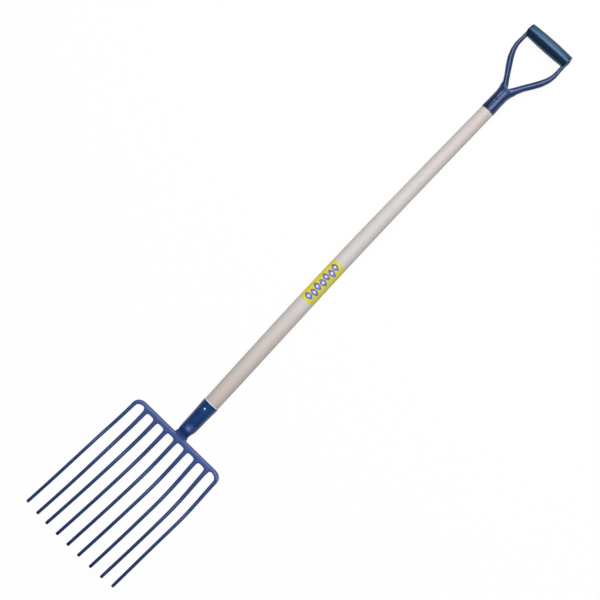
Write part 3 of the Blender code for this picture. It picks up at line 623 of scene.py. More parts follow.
def moulded_plastic(colour):
    """Moulded polypropylene with a polished skin: even colour, soft gloss, faint sink marks."""
    material, tree, shader = new_material(
        "moulded_polypropylene", 0.3, specular=0.85, tint=(0.36, 0.6, 1.0))
    place = object_place(tree)
    # Sink marks of 9 mm, and a skin of 0.8 mm grain
    cloud = add(tree, "ShaderNodeTexNoise", {"Vector": place, "Scale": per_mm(9), "Detail": 2.0})
    skin = add(tree, "ShaderNodeTexNoise", {"Vector": place, "Scale": per_mm(0.8), "Detail": 1.0})
    sink = add(tree, "ShaderNodeBump", {"Height": cloud, "Strength": 0.3, "Distance": 0.0003})
    grain = add(tree, "ShaderNodeBump", {
        "Height": skin, "Strength": 0.2, "Distance": 0.00004, "Normal": sink})
    gloss = add(tree, "ShaderNodeMapRange", {"Value": skin, "To Min": 0.26, "To Max": 0.38})
    plug(tree, shader, {
        "Base Color": layered(tree, rgba(shade(colour, 0.85)), (cloud, shade(colour, 1.2))),
        "IOR": 1.55, "Normal": grain, "Roughness": gloss})
    return material


def zinc_plate(name, code):
    """Zinc-plated steel, peened over: bright metal with a dull bloom and hammer marks."""
    material, tree, shader = new_material(name, 0.28, metallic=1.0)
    colour = linear(code)
    # Crystals of 1.2 mm
    bloom = add(tree, "ShaderNodeTexNoise", {
        "Vector": object_place(tree), "Scale": per_mm(1.2), "Detail": 3.0})
    rough = add(tree, "ShaderNodeMapRange", {"Value": bloom, "To Min": 0.3, "To Max": 0.5})
    dents = add(tree, "ShaderNodeBump", {"Height": bloom, "Strength": 0.3, "Distance": 0.0001})
    plug(tree, shader, {
        "Base Color": layered(tree, rgba(shade(colour, 0.8)), (bloom, colour)), "Roughness": rough,
        "Normal": dents})
    return material


def lozenges(tree, along, across):
    """Masks of the label's print: seven rounded lozenges in two rows, their edges and their dots."""
    # Sizes in mm; power 1 makes a straight lozenge, 2 an oval
    count, pitch, half_length, half_width, stagger, dot_radius = 7, 13.0, 6.4, 10.0, 4.0, 2.5
    power, rim_start = 1.4, 0.8
    steps = add(tree, "ShaderNodeMath", {0: along, 1: pitch}, operation='DIVIDE')
    step = add(tree, "ShaderNodeMath", {0: steps}, operation='ROUND')
    middle = add(tree, "ShaderNodeMath", {0: step, 1: pitch}, operation='MULTIPLY')
    local = add(tree, "ShaderNodeMath", {0: along, 1: middle}, operation='SUBTRACT')
    parity = add(tree, "ShaderNodeMath", {0: step, 1: 1.0}, operation='PINGPONG')
    side = add(tree, "ShaderNodeMath", {0: parity, 1: 0.5}, operation='SUBTRACT')
    row = add(tree, "ShaderNodeMath", {0: side, 1: stagger}, operation='MULTIPLY')
    beside = add(tree, "ShaderNodeMath", {0: across, 1: row}, operation='SUBTRACT')
    parts = {}
    for number, (off, half) in enumerate(((local, half_length), (beside, half_width))):
        off = add(tree, "ShaderNodeMath", {0: off}, operation='ABSOLUTE')
        off = add(tree, "ShaderNodeMath", {0: off, 1: half}, operation='DIVIDE')
        parts[number] = add(tree, "ShaderNodeMath", {0: off, 1: power}, operation='POWER')
    reach = add(tree, "ShaderNodeMath", parts, operation='ADD')
    from_middle = add(tree, "ShaderNodeMath", {0: along}, operation='ABSOLUTE')
    printed = add(tree, "ShaderNodeMath", {0: from_middle, 1: count / 2 * pitch}, operation='LESS_THAN')
    inside = add(tree, "ShaderNodeMath", {0: reach, 1: 1.0}, operation='LESS_THAN')
    lozenge = add(tree, "ShaderNodeMath", {0: inside, 1: printed}, operation='MULTIPLY')
    rim = add(tree, "ShaderNodeMath", {0: reach, 1: rim_start}, operation='GREATER_THAN')
    spot = add(tree, "ShaderNodeCombineXYZ", {"X": local, "Y": beside})
    dot_reach = add(tree, "ShaderNodeVectorMath", {0: spot}, operation='LENGTH')
    dot = add(tree, "ShaderNodeMath", {0: dot_reach, 1: dot_radius}, operation='LESS_THAN')
    return lozenge, *(add(tree, "ShaderNodeMath", {0: lozenge, 1: mask}, operation='MULTIPLY')
                      for mask in (rim, dot))


def printed_film(sizes, colours):
    """Printed vinyl film under satin lacquer: yellow ground and two staggered rows of lozenges."""
    material, tree, shader = new_material("printed_vinyl_film", 0.45, specular=0.25)
    # The map runs 0 to 1; places in the print are in millimetres from its middle
    flat = add(tree, "ShaderNodeVectorMath", {
        0: add(tree, "ShaderNodeUVMap", uv_map="print"), 1: (0.5, 0.5, 0.0)}, operation='SUBTRACT')
    flat = add(tree, "ShaderNodeVectorMath", {
        0: flat, 1: (sizes.label_length * 1000, sizes.label_width * 1000, 0.0)}, operation='MULTIPLY')
    place = add(tree, "ShaderNodeSeparateXYZ", {"Vector": flat}).outputs
    # The ground turns green from 6 mm left of the middle to 14 mm right of it
    tinted = add(tree, "ShaderNodeMapRange", {"Value": place["Y"], "From Min": 6.0, "From Max": -14.0})
    lozenge, edge, dot = lozenges(tree, place["X"], place["Y"])
    # Handling scuffs of about 3 mm dull the lacquer and let the print fade a little
    scuff = add(tree, "ShaderNodeTexNoise", {
        "Vector": object_place(tree), "Scale": per_mm(3), "Detail": 4.0, "Roughness": 0.6})
    faded = add(tree, "ShaderNodeMapRange", {
        "Value": scuff, "From Min": 0.5, "From Max": 0.8, "To Max": 0.35})
    film = layered(tree, rgba(colours.label_yellow), (tinted, colours.label_green),
                   (lozenge, colours.label_violet), (edge, linear("#3A3C86")), (dot, linear("#F2F2FF")),
                   (faded, linear("#D9D6C4")))
    rough = add(tree, "ShaderNodeMapRange", {"Value": scuff, "To Min": 0.38, "To Max": 0.55})
    crease = add(tree, "ShaderNodeBump", {"Height": scuff, "Strength": 0.15, "Distance": 0.0001})
    plug(tree, shader, {"Base Color": film, "Roughness": rough, "Normal": crease})
    return material


# Forged head


def tine_y(sizes, index, distance):
    """Sideways place of a tine's centre line, which spreads a little below the crossbar."""
    pitch = sizes.tine_pitch + sizes.tine_spread * smooth_step(distance / SPREAD_LENGTH)
    part = min(distance / sizes.tine_length, 1.0)
    bow = TINE_SIDE_BOW.get(index, 0.0) * math.sin(math.pi * part)
    return index * pitch + bow + TINE_SIDE_DRIFT.get(index, 0.0) * smooth_step(part)


def tine_radius(sizes, index, distance):
    """Radius of a tine, thickest where it leaves the crossbar."""
    root = sizes.tine_root_radius - (OUTER_TINE_THINNER if abs(index) == LAST_TINE else 0.0)
    return sizes.tine_tip_radius + (root - sizes.tine_tip_radius) * math.exp(-distance / TINE_TAPER_LENGTH)


def tine_slope(sizes, distance):
    """Angle of a tine to the shaft: straight at first, then a bend, then a slow sweep forward."""
    bend = sizes.bend_angle * smooth_step((distance - BEND_START) / BEND_LENGTH)
    beyond = max(distance - BEND_START - BEND_LENGTH, 0.0)
    return bend + SWEEP_ANGLE * beyond / (sizes.tine_length - BEND_START - BEND_LENGTH)


def tine_point(sizes, index, distance):
    """Centre, and direction to the front, of a tine at a distance below its root."""
    x, z = BAR_TOP_X - sizes.bar_height, BAR_Z
    steps = max(round(distance / PATH_STEP), 1)
    for step in range(steps):
        slope = tine_slope(sizes, distance * (step + 0.5) / steps)
        x -= math.cos(slope) * distance / steps
        z += math.sin(slope) * distance / steps
    turn = tine_slope(sizes, distance)
    return Vector((x, tine_y(sizes, index, distance), z)), Vector((math.sin(turn), 0.0, math.cos(turn)))


def bar_lines(sizes):
    """The crossbar's lines from right to left: place, tine and part of each."""
    lines = []
    for index in range(-LAST_TINE, LAST_TINE + 1):
        for part in (-1, 0, 1):
            outer = part == (1 if index > 0 else -1) and abs(index) == LAST_TINE
            half = OUTER_ROOT_HALF_WIDTH if outer else ROOT_HALF_WIDTH
            lines.append((index * sizes.tine_pitch + part * half, index, part))
        if index < LAST_TINE:
            lines.append(((index + 0.5) * sizes.tine_pitch, index + 0.5, 0))
    return lines


def bar_root_x(sizes, index, part):
    """Height of the slots' round ends: the two outermost slots reach higher."""
    side = 1 if index > 0 else -1
    raised = abs(index) == LAST_TINE - 0.5 or (abs(index) == LAST_TINE - 1 and part == side)
    return BAR_TOP_X - sizes.bar_height + (OUTER_SLOT_RISE if raised else 0.0)


def crossbar_box(bm, sizes):
    """Cut a cube into the crossbar's cells, two high and two thick, and shape them to its lines."""
    lines = bar_lines(sizes)
    bmesh.ops.create_cube(bm, size=1.0)
    for axis, cuts in ((0, 1), (1, len(lines) - 2), (2, 1)):
        along = [edge for edge in bm.edges
                 if abs((edge.verts[1].co - edge.verts[0].co)[axis]) > 0.9]
        bmesh.ops.subdivide_edges(bm, edges=along, cuts=cuts, use_grid_fill=True)
    row_of = bm.verts.layers.int["row"]
    column_of = bm.verts.layers.int["column"]
    depth_of = bm.verts.layers.int["depth"]
    for vertex in bm.verts:
        row = round((0.5 - vertex.co.x) * 2)
        column = round((vertex.co.y + 0.5) * (len(lines) - 1))
        depth = round(vertex.co.z * 2)
        vertex[row_of], vertex[column_of], vertex[depth_of] = row, column, depth
        y, index, part = lines[column]
        from_end = min(column, len(lines) - 1 - column)
        top = BAR_TOP_X - (BAR_CORNER_DROP[2 - from_end] if from_end < 3 else 0.0)
        low = bar_root_x(sizes, index, part)
        if from_end == 0:
            low = BAR_TOP_X - sizes.bar_height - BAR_END_DIP
        if depth == 0:
            top += BAR_CROWN
        x = (top, (top + low) / 2, low)[row]
        tilt = BAR_TILT * (row - 1) / 2
        vertex.co = (x, y, BAR_Z + depth * sizes.bar_thickness / 2 + tilt)


def patch(bm, row, first, last):
    """Faces of the crossbar's upper or lower side between two of its lines."""
    row_of = bm.verts.layers.int["row"]
    column_of = bm.verts.layers.int["column"]
    return [face for face in bm.faces
            if all(v[row_of] == row and first <= v[column_of] <= last for v in face.verts)]


def forge_tine(bm, sizes, index, faces):
    """Draw one tine out of the crossbar, section by section, to a blunt tip."""
    column_of = bm.verts.layers.int["column"]
    depth_of = bm.verts.layers.int["depth"]
    middle = 4 * (index + LAST_TINE) + 1
    length = sizes.tine_length - OUTER_TINE_SHORTER * (abs(index) / LAST_TINE) ** 3
    for distance in (*TINE_STATIONS, length - TIP_EDGE, length):
        centre, front = tine_point(sizes, index, distance)
        radius = tine_radius(sizes, index, distance) / SHRINK_8
        if distance == length:
            radius *= TIP_PART
        power = 2.0 + ROOT_SQUARENESS * math.exp(-distance / ROOT_BLEND_LENGTH)

        def spot(vertex):
            across, depth = vertex[column_of] - middle, vertex[depth_of]
            if across == 0 and depth == 0:
                return centre
            side, rise = superellipse(math.atan2(across, depth), radius, radius, power)
            return centre + Vector((0.0, side, 0.0)) + front * rise

        faces = grow(bm, faces, spot)
    crease_around(bm, faces, TIP_CREASE)


def forge_socket(bm, faces, middle):
    """Draw the neck out of the crossbar, open it into the round socket and sink its bore."""
    column_of = bm.verts.layers.int["column"]
    depth_of = bm.verts.layers.int["depth"]
    bore = [(x, 0.0, radius, radius, 2.0) for x, radius in SOCKET_BORE]
    for number, (x, centre_z, half_width, half_depth, power) in enumerate((*NECK_SECTIONS, *bore)):

        def spot(vertex):
            across, depth = vertex[column_of] - middle, vertex[depth_of]
            if depth == 0 and abs(across) < 2:
                return Vector((x, across * half_width / 2, centre_z))
            degrees = 30 * across if depth > 0 else 180 - 30 * across
            if depth == 0:
                degrees = 90 if across > 0 else -90
            side, rise = superellipse(math.radians(degrees), half_width, half_depth, power)
            return Vector((x, side / SHRINK_12, centre_z + rise / SHRINK_12))

        faces = grow(bm, faces, spot)
        if number == len(NECK_SECTIONS):
            crease_around(bm, faces, SOCKET_BORE_CREASE)


class FORK_OT_head(bpy.types.Operator):
    """Forge the head: crossbar, nine tines, neck and socket in one piece."""
    bl_idname = "fork.head"
    bl_label = "Head"

    def execute(self, context):
        sizes, colours = context.scene.fork_sizes, context.scene.fork_colours
        bm = bmesh.new()
        for name in ("row", "column", "depth"):
            bm.verts.layers.int.new(name)
        bm.edges.layers.float.new("crease_edge")
        crossbar_box(bm, sizes)
        middle = 4 * LAST_TINE + 1
        neck = patch(bm, 0, middle - 2, middle + 2)
        roots = {index: patch(bm, 2, 4 * (index + LAST_TINE), 4 * (index + LAST_TINE) + 2)
                 for index in range(-LAST_TINE, LAST_TINE + 1)}
        for index, faces in roots.items():
            forge_tine(bm, sizes, index, faces)
        forge_socket(bm, neck, middle)
        material = enamel("dipped_enamel_head", colours.head_blue, HEAD_TINT)
        # Painted highlights and shade on the head's enamel
        head_sheen_and_shade(material.node_tree)
        bmesh.ops.scale(bm, vec=HEAD_FIT, verts=bm.verts)
        finish_piece("forged_head", bm, head_frame(), material, ("fork_head",), levels=2)
        return {'FINISHED'}


# Shaft, rivets and label


def shaft_centre(x):
    """Sideways place of the shaft's centre, which bows between the socket and the yoke."""
    if x < 0.0:
        return HEAD_Y + math.tan(HEAD_YAW) * x
    if x > SLEEVE_MOUTH_X:
        return YOKE_Y + math.tan(YOKE_YAW) * (x - SLEEVE_MOUTH_X)
    part = x / SLEEVE_MOUTH_X
    return HEAD_Y + (YOKE_Y - HEAD_Y) * part + SHAFT_BOW * math.sin(math.pi * part) ** BOW_POWER


def shaft_radius(x):
    """Radius of the shaft at x, read along its turned profile."""
    for (x0, r0), (x1, r1) in zip(SHAFT_PROFILE, SHAFT_PROFILE[1:]):
        if x <= x1:
            return r0 + (r1 - r0) * max(x - x0, 0.0) / (x1 - x0)
    return SHAFT_PROFILE[-1][1]


class FORK_OT_shaft(bpy.types.Operator):
    """Turn the ash shaft and bow it slightly to the left."""
    bl_idname = "fork.shaft"
    bl_label = "Shaft"

    def execute(self, context):
        colours = context.scene.fork_colours
        profile = [(SHAFT_PROFILE[0][0], 0.0), SHAFT_PROFILE[0]]
        for (x0, _), (x1, r1) in zip(SHAFT_PROFILE, SHAFT_PROFILE[1:]):
            pieces = max(round((x1 - x0) / SHAFT_STATION), 1)
            for step in range(1, pieces + 1):
                x = x0 + (x1 - x0) * step / pieces
                profile.append((x, r1 if step == pieces else shaft_radius(x)))
        profile.append((SHAFT_PROFILE[-1][0], 0.0))
        bm = spun(profile, 'X', 64)
        for vertex in bm.verts:
            vertex.co.y += shaft_centre(vertex.co.x)
        finish_piece("ash_shaft", bm, Matrix.Translation(fork_zero()),
                     ash(colours.ash_pale, colours.ash_dark), ("shaft",), sharp=35)
        return {'FINISHED'}


def rivet_profile(front, back, head_height, head_radius):
    """Peened rivet: a dome at the front, a low button at the back."""
    return [
        (-back - RIVET_BUTTON_HEIGHT, 0.0),
        *arc(-back, -RIVET_BUTTON_HEIGHT, RIVET_BUTTON_RADIUS, (70, 45, 20, 0)),
        (-back + RIVET_FLARE, RIVET_RADIUS), (front - RIVET_FLARE, RIVET_RADIUS),
        (front - RIVET_RIM, head_radius), *dome(front, head_height, head_radius)]


class FORK_OT_rivets(bpy.types.Operator):
    """Set the bright rivet of the socket and the painted rivet of the yoke."""
    bl_idname = "fork.rivets"
    bl_label = "Rivets"

    def execute(self, context):
        place = head_frame() @ Matrix.Translation((SOCKET_RIVET_X, 0.0, 0.0))
        finish_piece("socket_rivet_peened", spun(rivet_profile(*SOCKET_RIVET), 'Z', 40), place,
                     zinc_plate("zinc_plate_rivet", "#B4CCEC"), ("socket_rivet",), sharp=50)
        turn = Matrix.Rotation(-YOKE_RIVET_TURN, 4, 'X')
        place = yoke_frame() @ Matrix.Translation((YOKE_RIVET_X, 0.0, 0.0)) @ turn
        material = enamel("stoved_enamel_rivet", context.scene.fork_colours.yoke_blue, YOKE_TINT)
        finish_piece("yoke_rivet_peened", spun(rivet_profile(*YOKE_RIVET), 'Z', 40), place, material,
                     ("yoke_rivet",), sharp=50)
        return {'FINISHED'}


class FORK_OT_label(bpy.types.Operator):
    """Cut the label, wrap it round the shaft and print it."""
    bl_idname = "fork.label"
    bl_label = "Label"

    def execute(self, context):
        sizes, colours = context.scene.fork_sizes, context.scene.fork_colours
        half_length, half_width = sizes.label_length / 2, sizes.label_width / 2
        bm = bmesh.new()
        bmesh.ops.create_grid(bm, x_segments=1, y_segments=1, size=1.0)
        bmesh.ops.scale(bm, vec=(half_length, half_width, 1.0), verts=bm.verts)
        bmesh.ops.bevel(bm, geom=bm.verts[:], offset=LABEL_CORNER, offset_type='OFFSET', segments=10,
                        profile=0.5, affect='VERTICES', material=-1)
        for axis, half, cuts in ((1, half_width, 31), (0, half_length, 9)):
            normal = Vector((axis == 0, axis == 1, 0.0))
            for number in range(1, cuts + 1):
                place = normal * half * (2.0 * number / (cuts + 1) - 1.0)
                bmesh.ops.bisect_plane(bm, geom=bm.verts[:] + bm.edges[:] + bm.faces[:],
                                       plane_co=place, plane_no=normal)
        flat = bm.loops.layers.uv.new("print")
        for face in bm.faces:
            for loop in face.loops:
                loop[flat].uv = (loop.vert.co.x / sizes.label_length + 0.5,
                                 loop.vert.co.y / sizes.label_width + 0.5)
        radius = shaft_radius(LABEL_MIDDLE_X)
        for vertex in bm.verts:
            x = LABEL_MIDDLE_X + vertex.co.x
            angle = vertex.co.y / radius + LABEL_TURN
            reach = shaft_radius(x) + LABEL_LIFT + LABEL_THICKNESS
            vertex.co = (x, shaft_centre(x) + reach * math.sin(angle), reach * math.cos(angle))
        bmesh.ops.recalc_face_normals(bm, faces=bm.faces)
        if sum(face.normal.z for face in bm.faces) < 0:
            bmesh.ops.reverse_faces(bm, faces=bm.faces)
        bmesh.ops.solidify(bm, geom=bm.faces[:], thickness=LABEL_THICKNESS)
        finish_piece("printed_label", bm, Matrix.Translation(fork_zero()),
                     printed_film(sizes, colours), ("label",), sharp=40)
        return {'FINISHED'}


# Yoke


def crotch_shift(x):
    """How far the crotch leans to the right of the sleeve, fading out to both sides of it."""
    return -CROTCH_SHIFT * (1.0 - smooth_step(abs(x - CROTCH_X) / CROTCH_SHIFT_REACH))


def arm_drop(x):
    """How far the arms have come down towards the grip, so that it lies on the ground."""
    full = SOCKET_MOUTH_RADIUS - bpy.context.scene.fork_sizes.grip_middle_radius
    return -full * smooth_step((x - CROTCH_X) / (ARM_DROP_X - CROTCH_X))


def extrude_ring(bm, edges, spot):
    """Extrude a ring of edges one step and move each of its corners to its spot."""
    made = bmesh.ops.extrude_edge_only(bm, edges=edges)["geom"]
    corners = set(verts_of(made))
    for vertex in corners:
        vertex.co = spot(vertex)
    return [part for part in made if isinstance(part, bmesh.types.BMEdge)
            and part.verts[0] in corners and part.verts[1] in corners]


def press_sleeve(bm, corner_of):
    """Sleeve with rounded corners and a bore, closed at the crotch by two faces that share a ridge."""
    def ring_spot(x, half_width, half_depth, power=2.0):
        def spot(vertex):
            side, rise = superellipse(math.radians(30 * vertex[corner_of]), half_width, half_depth, power)
            return Vector((x, side / SHRINK_12, rise / SHRINK_12))
        return spot

    crease = bm.edges.layers.float["crease_edge"]
    made = bmesh.ops.create_circle(bm, cap_ends=False, segments=12, radius=1.0)["verts"]
    for number, vertex in enumerate(made):
        vertex[corner_of] = number
        vertex.co = ring_spot(*SLEEVE_SECTIONS[0])(vertex)
    mouth = bm.edges[:]
    for edge in mouth:
        edge[crease] = SLEEVE_MOUTH_CREASE
        edge.smooth = False
    edges = mouth
    for section in SLEEVE_SECTIONS[1:]:
        edges = extrude_ring(bm, edges, ring_spot(*section))
    edges = extrude_ring(bm, edges, ring_spot(CROTCH_SIDE_X, CROTCH_HALF_WIDTH, CROTCH_HALF_DEPTH))
    ring = {vertex[corner_of]: vertex for edge in edges for vertex in edge.verts}
    ring[0].co = (CROTCH_X, 0.0, CROTCH_EDGE_Z)
    ring[6].co = (CROTCH_X, 0.0, -CROTCH_EDGE_Z)
    cap = bmesh.ops.contextual_create(bm, geom=edges)["faces"][0]
    bmesh.utils.face_split(cap, ring[0], ring[6], coords=[(CROTCH_X + CROTCH_CROWN, 0.0, 0.0)])
    middle = next(vertex for vertex in bm.verts if len(vertex.link_edges) == 2)
    middle[corner_of] = 12
    for edge in middle.link_edges:
        edge[crease] = CROTCH_CREASE
    inner = mouth
    for number, (x, radius) in enumerate(SLEEVE_BORE):
        inner = extrude_ring(bm, inner, ring_spot(x, radius, radius))
        if number == 0:
            for edge in inner:
                edge[crease] = SLEEVE_BORE_CREASE
                edge.smooth = False
    bmesh.ops.contextual_create(bm, geom=inner)
    return list(middle.link_faces)


def press_arm(bm, corner_of, face):
    """Sweep one arm from the crotch and round its end into the eye inside the grip."""
    side = 1 if face.calc_center_median().y > 0 else -1
    sections = list(LEFT_ARM if side > 0 else RIGHT_ARM)
    _, eye_y, half_width, _, power = sections[-1]
    for degrees in EYE_TURNS:
        turn = math.radians(degrees)
        sections.append((GRIP_X + EYE_RADIUS * math.sin(turn), eye_y, half_width,
                         EYE_RADIUS * math.cos(turn), power))
    places = [Vector((section[0], section[1], arm_drop(section[0]))) for section in sections]
    faces = [face]
    for n, (_, _, half_width, half_depth, power) in enumerate(sections):
        heading = (places[min(n + 1, len(places) - 1)] - places[max(n - 1, 0)]).normalized()
        outward = Vector((-heading.y, heading.x, 0.0))

        def spot(vertex):
            corner = vertex[corner_of]
            corner = 7 if corner == 12 else min(corner, 12 - corner)
            rise, across = superellipse(math.radians(ARM_ANGLES[corner]), half_depth, half_width, power)
            point = places[n] + outward * (across / SHRINK_8) - Vector((0.0, 0.0, rise / SHRINK_8))
            return Vector((point.x, side * point.y, point.z))

        faces = grow(bm, faces, spot)
    crease_around(bm, faces, EYE_CREASE)


def press_lap(material):
    """Raised strip of the sleeve's lapped seam, along the front left of the middle."""
    bm = bmesh.new()
    bmesh.ops.create_grid(bm, x_segments=len(LAP_SECTIONS) - 1, y_segments=8, size=1.0)
    inside = {}
    for vertex in bm.verts:
        section = LAP_SECTIONS[round((vertex.co.x + 1) / 2 * (len(LAP_SECTIONS) - 1))]
        x, half_width, half_depth, power, height, root = section
        part = (vertex.co.y + 1) / 2
        angle = LAP_ANGLES[0] + (LAP_ANGLES[1] - LAP_ANGLES[0]) * part
        height *= 1.0 - LAP_FALL * part ** 2
        vertex.co = (x, *superellipse(angle, half_width + height, half_depth + height, power))
        inside[vertex] = (x, *superellipse(angle, half_width - root, half_depth - root, power))
    made = bmesh.ops.extrude_face_region(bm, geom=bm.faces[:])["geom"]
    lower = {tuple(round(c, 7) for c in vertex.co): place for vertex, place in inside.items()}
    for vertex in verts_of(made):
        vertex.co = lower[tuple(round(c, 7) for c in vertex.co)]
    for vertex in bm.verts:
        vertex.co.y += crotch_shift(vertex.co.x)
    rim = [edge for edge in bm.edges if len(edge.link_faces) == 2 and edge.calc_face_angle(0.0) > 1.0]
    bmesh.ops.bevel(bm, geom=rim, offset=LAP_BEVEL, offset_type='OFFSET', segments=2, profile=0.5,
                    affect='EDGES', material=-1)
    finish_piece("yoke_lap_strip", bm, yoke_frame(), material, sharp=60)


class FORK_OT_yoke(bpy.types.Operator):
    """Press the yoke: sleeve, crotch, two arms with their eyes, and the lapped seam."""
    bl_idname = "fork.yoke"
    bl_label = "Yoke"

    def execute(self, context):
        bm = bmesh.new()
        corner_of = bm.verts.layers.int.new("corner")
        bm.edges.layers.float.new("crease_edge")
        for face in press_sleeve(bm, corner_of):
            press_arm(bm, corner_of, face)
        for vertex in bm.verts:
            vertex.co.y += crotch_shift(vertex.co.x)
        material = enamel("stoved_enamel_yoke", context.scene.fork_colours.yoke_blue, YOKE_TINT)
        # Painted shadow along the lap's edges
        paint_lap_shadow(material.node_tree)
        finish_piece("pressed_yoke", bm, yoke_frame(), material, ("yoke",), levels=3)
        press_lap(material)
        return {'FINISHED'}


# Grip


def slot_cutter(side):
    """Cutter for the slot in one end of the grip: round at the top, open below and outwards."""
    bm = bmesh.new()
    bmesh.ops.create_circle(bm, cap_ends=True, segments=32, radius=SLOT_RADIUS)
    for vertex in bm.verts:
        if vertex.co.x < 0.0:
            vertex.co.x = SLOT_MOUTH_X
            vertex.co.y = math.copysign(SLOT_RADIUS, vertex.co.y)
    bmesh.ops.remove_doubles(bm, verts=bm.verts, dist=1e-6)
    bmesh.ops.rotate(bm, cent=(0, 0, 0), matrix=Matrix.Rotation(math.radians(90), 3, 'X'), verts=bm.verts)
    bmesh.ops.translate(bm, vec=(0.0, side * SLOT_Y, 0.0), verts=bm.verts)
    made = bmesh.ops.extrude_face_region(bm, geom=bm.faces[:])["geom"]
    bmesh.ops.translate(bm, vec=(0.0, side * (SLOT_OUTER_Y - SLOT_Y), 0.0), verts=verts_of(made))
    bmesh.ops.transform(bm, matrix=yoke_frame() @ Matrix.Translation((GRIP_X, 0.0, arm_drop(GRIP_X))),
                        verts=bm.verts)
    bmesh.ops.recalc_face_normals(bm, faces=bm.faces)
    return new_object("slot_cutter", bm)


class FORK_OT_grip(bpy.types.Operator):
    """Mould the barrel grip with a slot in each end, and put the rod through it."""
    bl_idname = "fork.grip"
    bl_label = "Grip and rod"

    def execute(self, context):
        sizes, colours = context.scene.fork_sizes, context.scene.fork_colours
        end, radius = sizes.grip_half_length, sizes.grip_end_radius
        flat = end - GRIP_EDGE
        profile = [(-end, 0.0), *arc(-flat, GRIP_EDGE, GRIP_EDGE, (-90, -60, -30), radius - GRIP_EDGE)]
        for step in range(-GRIP_STATIONS, GRIP_STATIONS + 1):
            y = flat * step / GRIP_STATIONS
            profile.append((y, radius + (sizes.grip_middle_radius - radius) * (1.0 - (y / end) ** 2)))
        profile += [*arc(flat, GRIP_EDGE, GRIP_EDGE, (30, 60, 90), radius - GRIP_EDGE), (end, 0.0)]
        place = yoke_frame() @ Matrix.Translation((GRIP_X, 0.0, arm_drop(GRIP_X)))
        grip = finish_piece("barrel_grip", spun(profile, 'Y', 96), place,
                            moulded_plastic(colours.grip_navy), ("grip",))
        cutters = [slot_cutter(side) for side in (1, -1)]
        for cutter in cutters:
            cut = grip.modifiers.new("slot", 'BOOLEAN')
            cut.operation = 'DIFFERENCE'
            cut.solver = 'EXACT'
            cut.object = cutter
        settle(grip)
        for cutter in cutters:
            bpy.data.objects.remove(cutter, do_unlink=True)
        grip.data.set_sharp_from_angle(angle=math.radians(40))
        head = [(ROD_SEAT_Y, ROD_RADIUS), *dome(ROD_SEAT_Y, ROD_HEAD_HEIGHT, ROD_HEAD_RADIUS)]
        rod = spun([(-y, r) for y, r in reversed(head)] + head, 'Y', 40)
        finish_piece("grip_rod_peened", rod, place, zinc_plate("zinc_plate_rod", "#C4C9D0"),
                     ("grip_rod",), sharp=50)
        return {'FINISHED'}


# Stage


def aim(item, target):
    """Turn a lamp so that it shines at a point."""
    item.rotation_euler = (Vector(target) - item.location).to_track_quat('-Z', 'Y').to_euler()


def add_area(name, place, target, width, height, watts):
    """Rectangular softbox."""
    lamp = bpy.data.lights.new(name, 'AREA')
    lamp.shape = 'RECTANGLE'
    lamp.size, lamp.size_y = width, height
    lamp.energy = watts
    item = bpy.data.objects.new(name, lamp)
    item.location = place
    item.visible_camera = False
    aim(item, target)
    bpy.context.collection.objects.link(item)


def paper_floor():
    """Matt paper: white to the eye with a faint shadow, mid grey in the light that it throws back."""
    material, tree, shader = new_material("matt_paper_floor", 0.9, specular=0.0)
    plug(tree, shader, {"Base Color": rgba((0.35, 0.35, 0.35))})
    path = add(tree, "ShaderNodeLightPath").outputs
    seen = 0.0
    for ray in ("Is Camera Ray", "Is Glossy Ray", "Is Transmission Ray"):
        seen = add(tree, "ShaderNodeMath", {0: seen, 1: path[ray]}, operation='MAXIMUM')
    # To these rays the paper glows, and a twentieth of it takes the shadow
    shaded = add(tree, "ShaderNodeBsdfDiffuse", {"Color": rgba((0.96, 0.96, 0.96))})
    glow = add(tree, "ShaderNodeEmission", {"Color": rgba((1.0, 1.0, 1.0)), "Strength": 1.0})
    white = add(tree, "ShaderNodeMixShader", {0: 0.95, 1: shaded, 2: glow})
    mixed = add(tree, "ShaderNodeMixShader", {0: seen, 1: shader, 2: white})
    plug(tree, tree.nodes["Material Output"], {"Surface": mixed})
    return material


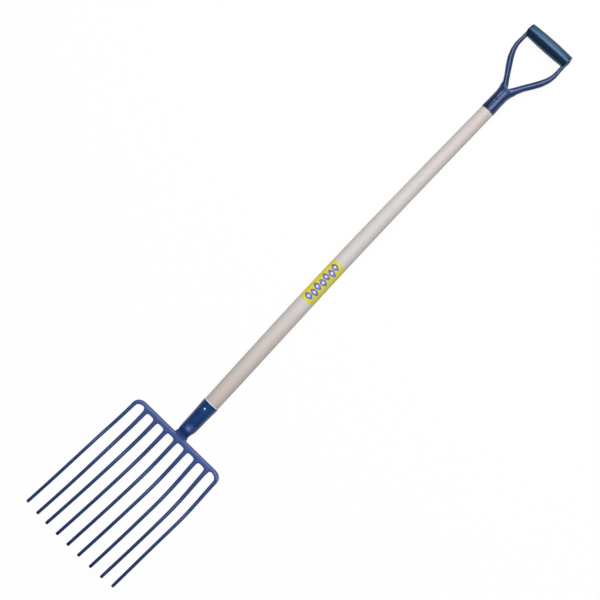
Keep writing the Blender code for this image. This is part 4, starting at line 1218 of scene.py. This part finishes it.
class FORK_OT_stage(bpy.types.Operator):
    """Lay the pale floor, hang the softboxes and place the camera."""
    bl_idname = "fork.stage"
    bl_label = "Stage"

    def execute(self, context):
        scene = context.scene
        bm = bmesh.new()
        bmesh.ops.create_grid(bm, x_segments=1, y_segments=1, size=12.0)
        floor = new_object("floor", bm)
        floor.data.materials.append(paper_floor())

        world = bpy.data.worlds.new("studio")
        world.use_nodes = True
        plug(world.node_tree, world.node_tree.nodes["Background"], {
            "Color": rgba((1.0, 1.0, 1.0)), "Strength": WORLD_STRENGTH})
        scene.world = world
        # The key hangs 8 to 32 degrees from the upright towards the grip
        add_area("key_softbox", (2.39, -0.5, 6.58), (0.0, 0.0, 0.0), 8.0, 3.0, 435.0)
        # A strip beyond the grip draws the broad band along it
        add_area("grip_strip", (1.69, 0.2, 0.85), (0.69, 0.0, 0.0), 0.3, 1.4, 6.0)

        camera = bpy.data.cameras.new("camera")
        camera.sensor_width = 36.0
        camera.lens = CAMERA_LENS
        camera.clip_end = 60.0
        holder = bpy.data.objects.new("camera", camera)
        right, down = Vector(CAMERA_RIGHT).normalized(), Vector(CAMERA_DOWN).normalized()
        forward = right.cross(down).normalized()
        turn = Matrix((right, -down, -forward)).transposed().to_4x4()
        holder.matrix_world = Matrix.Translation(fork_zero() + Vector(CAMERA_PLACE)) @ turn
        bpy.context.collection.objects.link(holder)
        scene.camera = holder
        scene.view_settings.view_transform = 'Standard'
        return {'FINISHED'}


class FORK_PT_panel(bpy.types.Panel):
    """Sidebar panel with the fork's sizes, colours and pieces."""
    bl_idname = "FORK_PT_panel"
    bl_label = "Stone fork"
    bl_space_type = 'VIEW_3D'
    bl_region_type = 'UI'
    bl_category = "Fork"

    def draw(self, context):
        for group in (context.scene.fork_sizes, context.scene.fork_colours):
            column = self.layout.column(align=True)
            for name in group.__annotations__:
                column.prop(group, name)
        for operator in OPERATORS:
            self.layout.operator(operator.bl_idname)


OPERATORS = (FORK_OT_stage, FORK_OT_head, FORK_OT_shaft, FORK_OT_rivets, FORK_OT_label, FORK_OT_yoke,
             FORK_OT_grip)
CLASSES = (ForkSizes, ForkColours, *OPERATORS, FORK_PT_panel)


def register():
    """Add the classes and the two groups of properties."""
    for item in CLASSES:
        bpy.utils.register_class(item)
    bpy.types.Scene.fork_sizes = PointerProperty(type=ForkSizes)
    bpy.types.Scene.fork_colours = PointerProperty(type=ForkColours)


def unregister():
    """Take the classes and properties out again."""
    del bpy.types.Scene.fork_colours
    del bpy.types.Scene.fork_sizes
    for item in reversed(CLASSES):
        bpy.utils.unregister_class(item)


def main():
    """Build every piece."""
    register()
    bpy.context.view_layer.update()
    bpy.ops.fork.stage()
    bpy.ops.fork.head()
    bpy.ops.fork.shaft()
    bpy.ops.fork.rivets()
    bpy.ops.fork.label()
    bpy.ops.fork.yoke()
    bpy.ops.fork.grip()


if __name__ == "__main__":
    main()
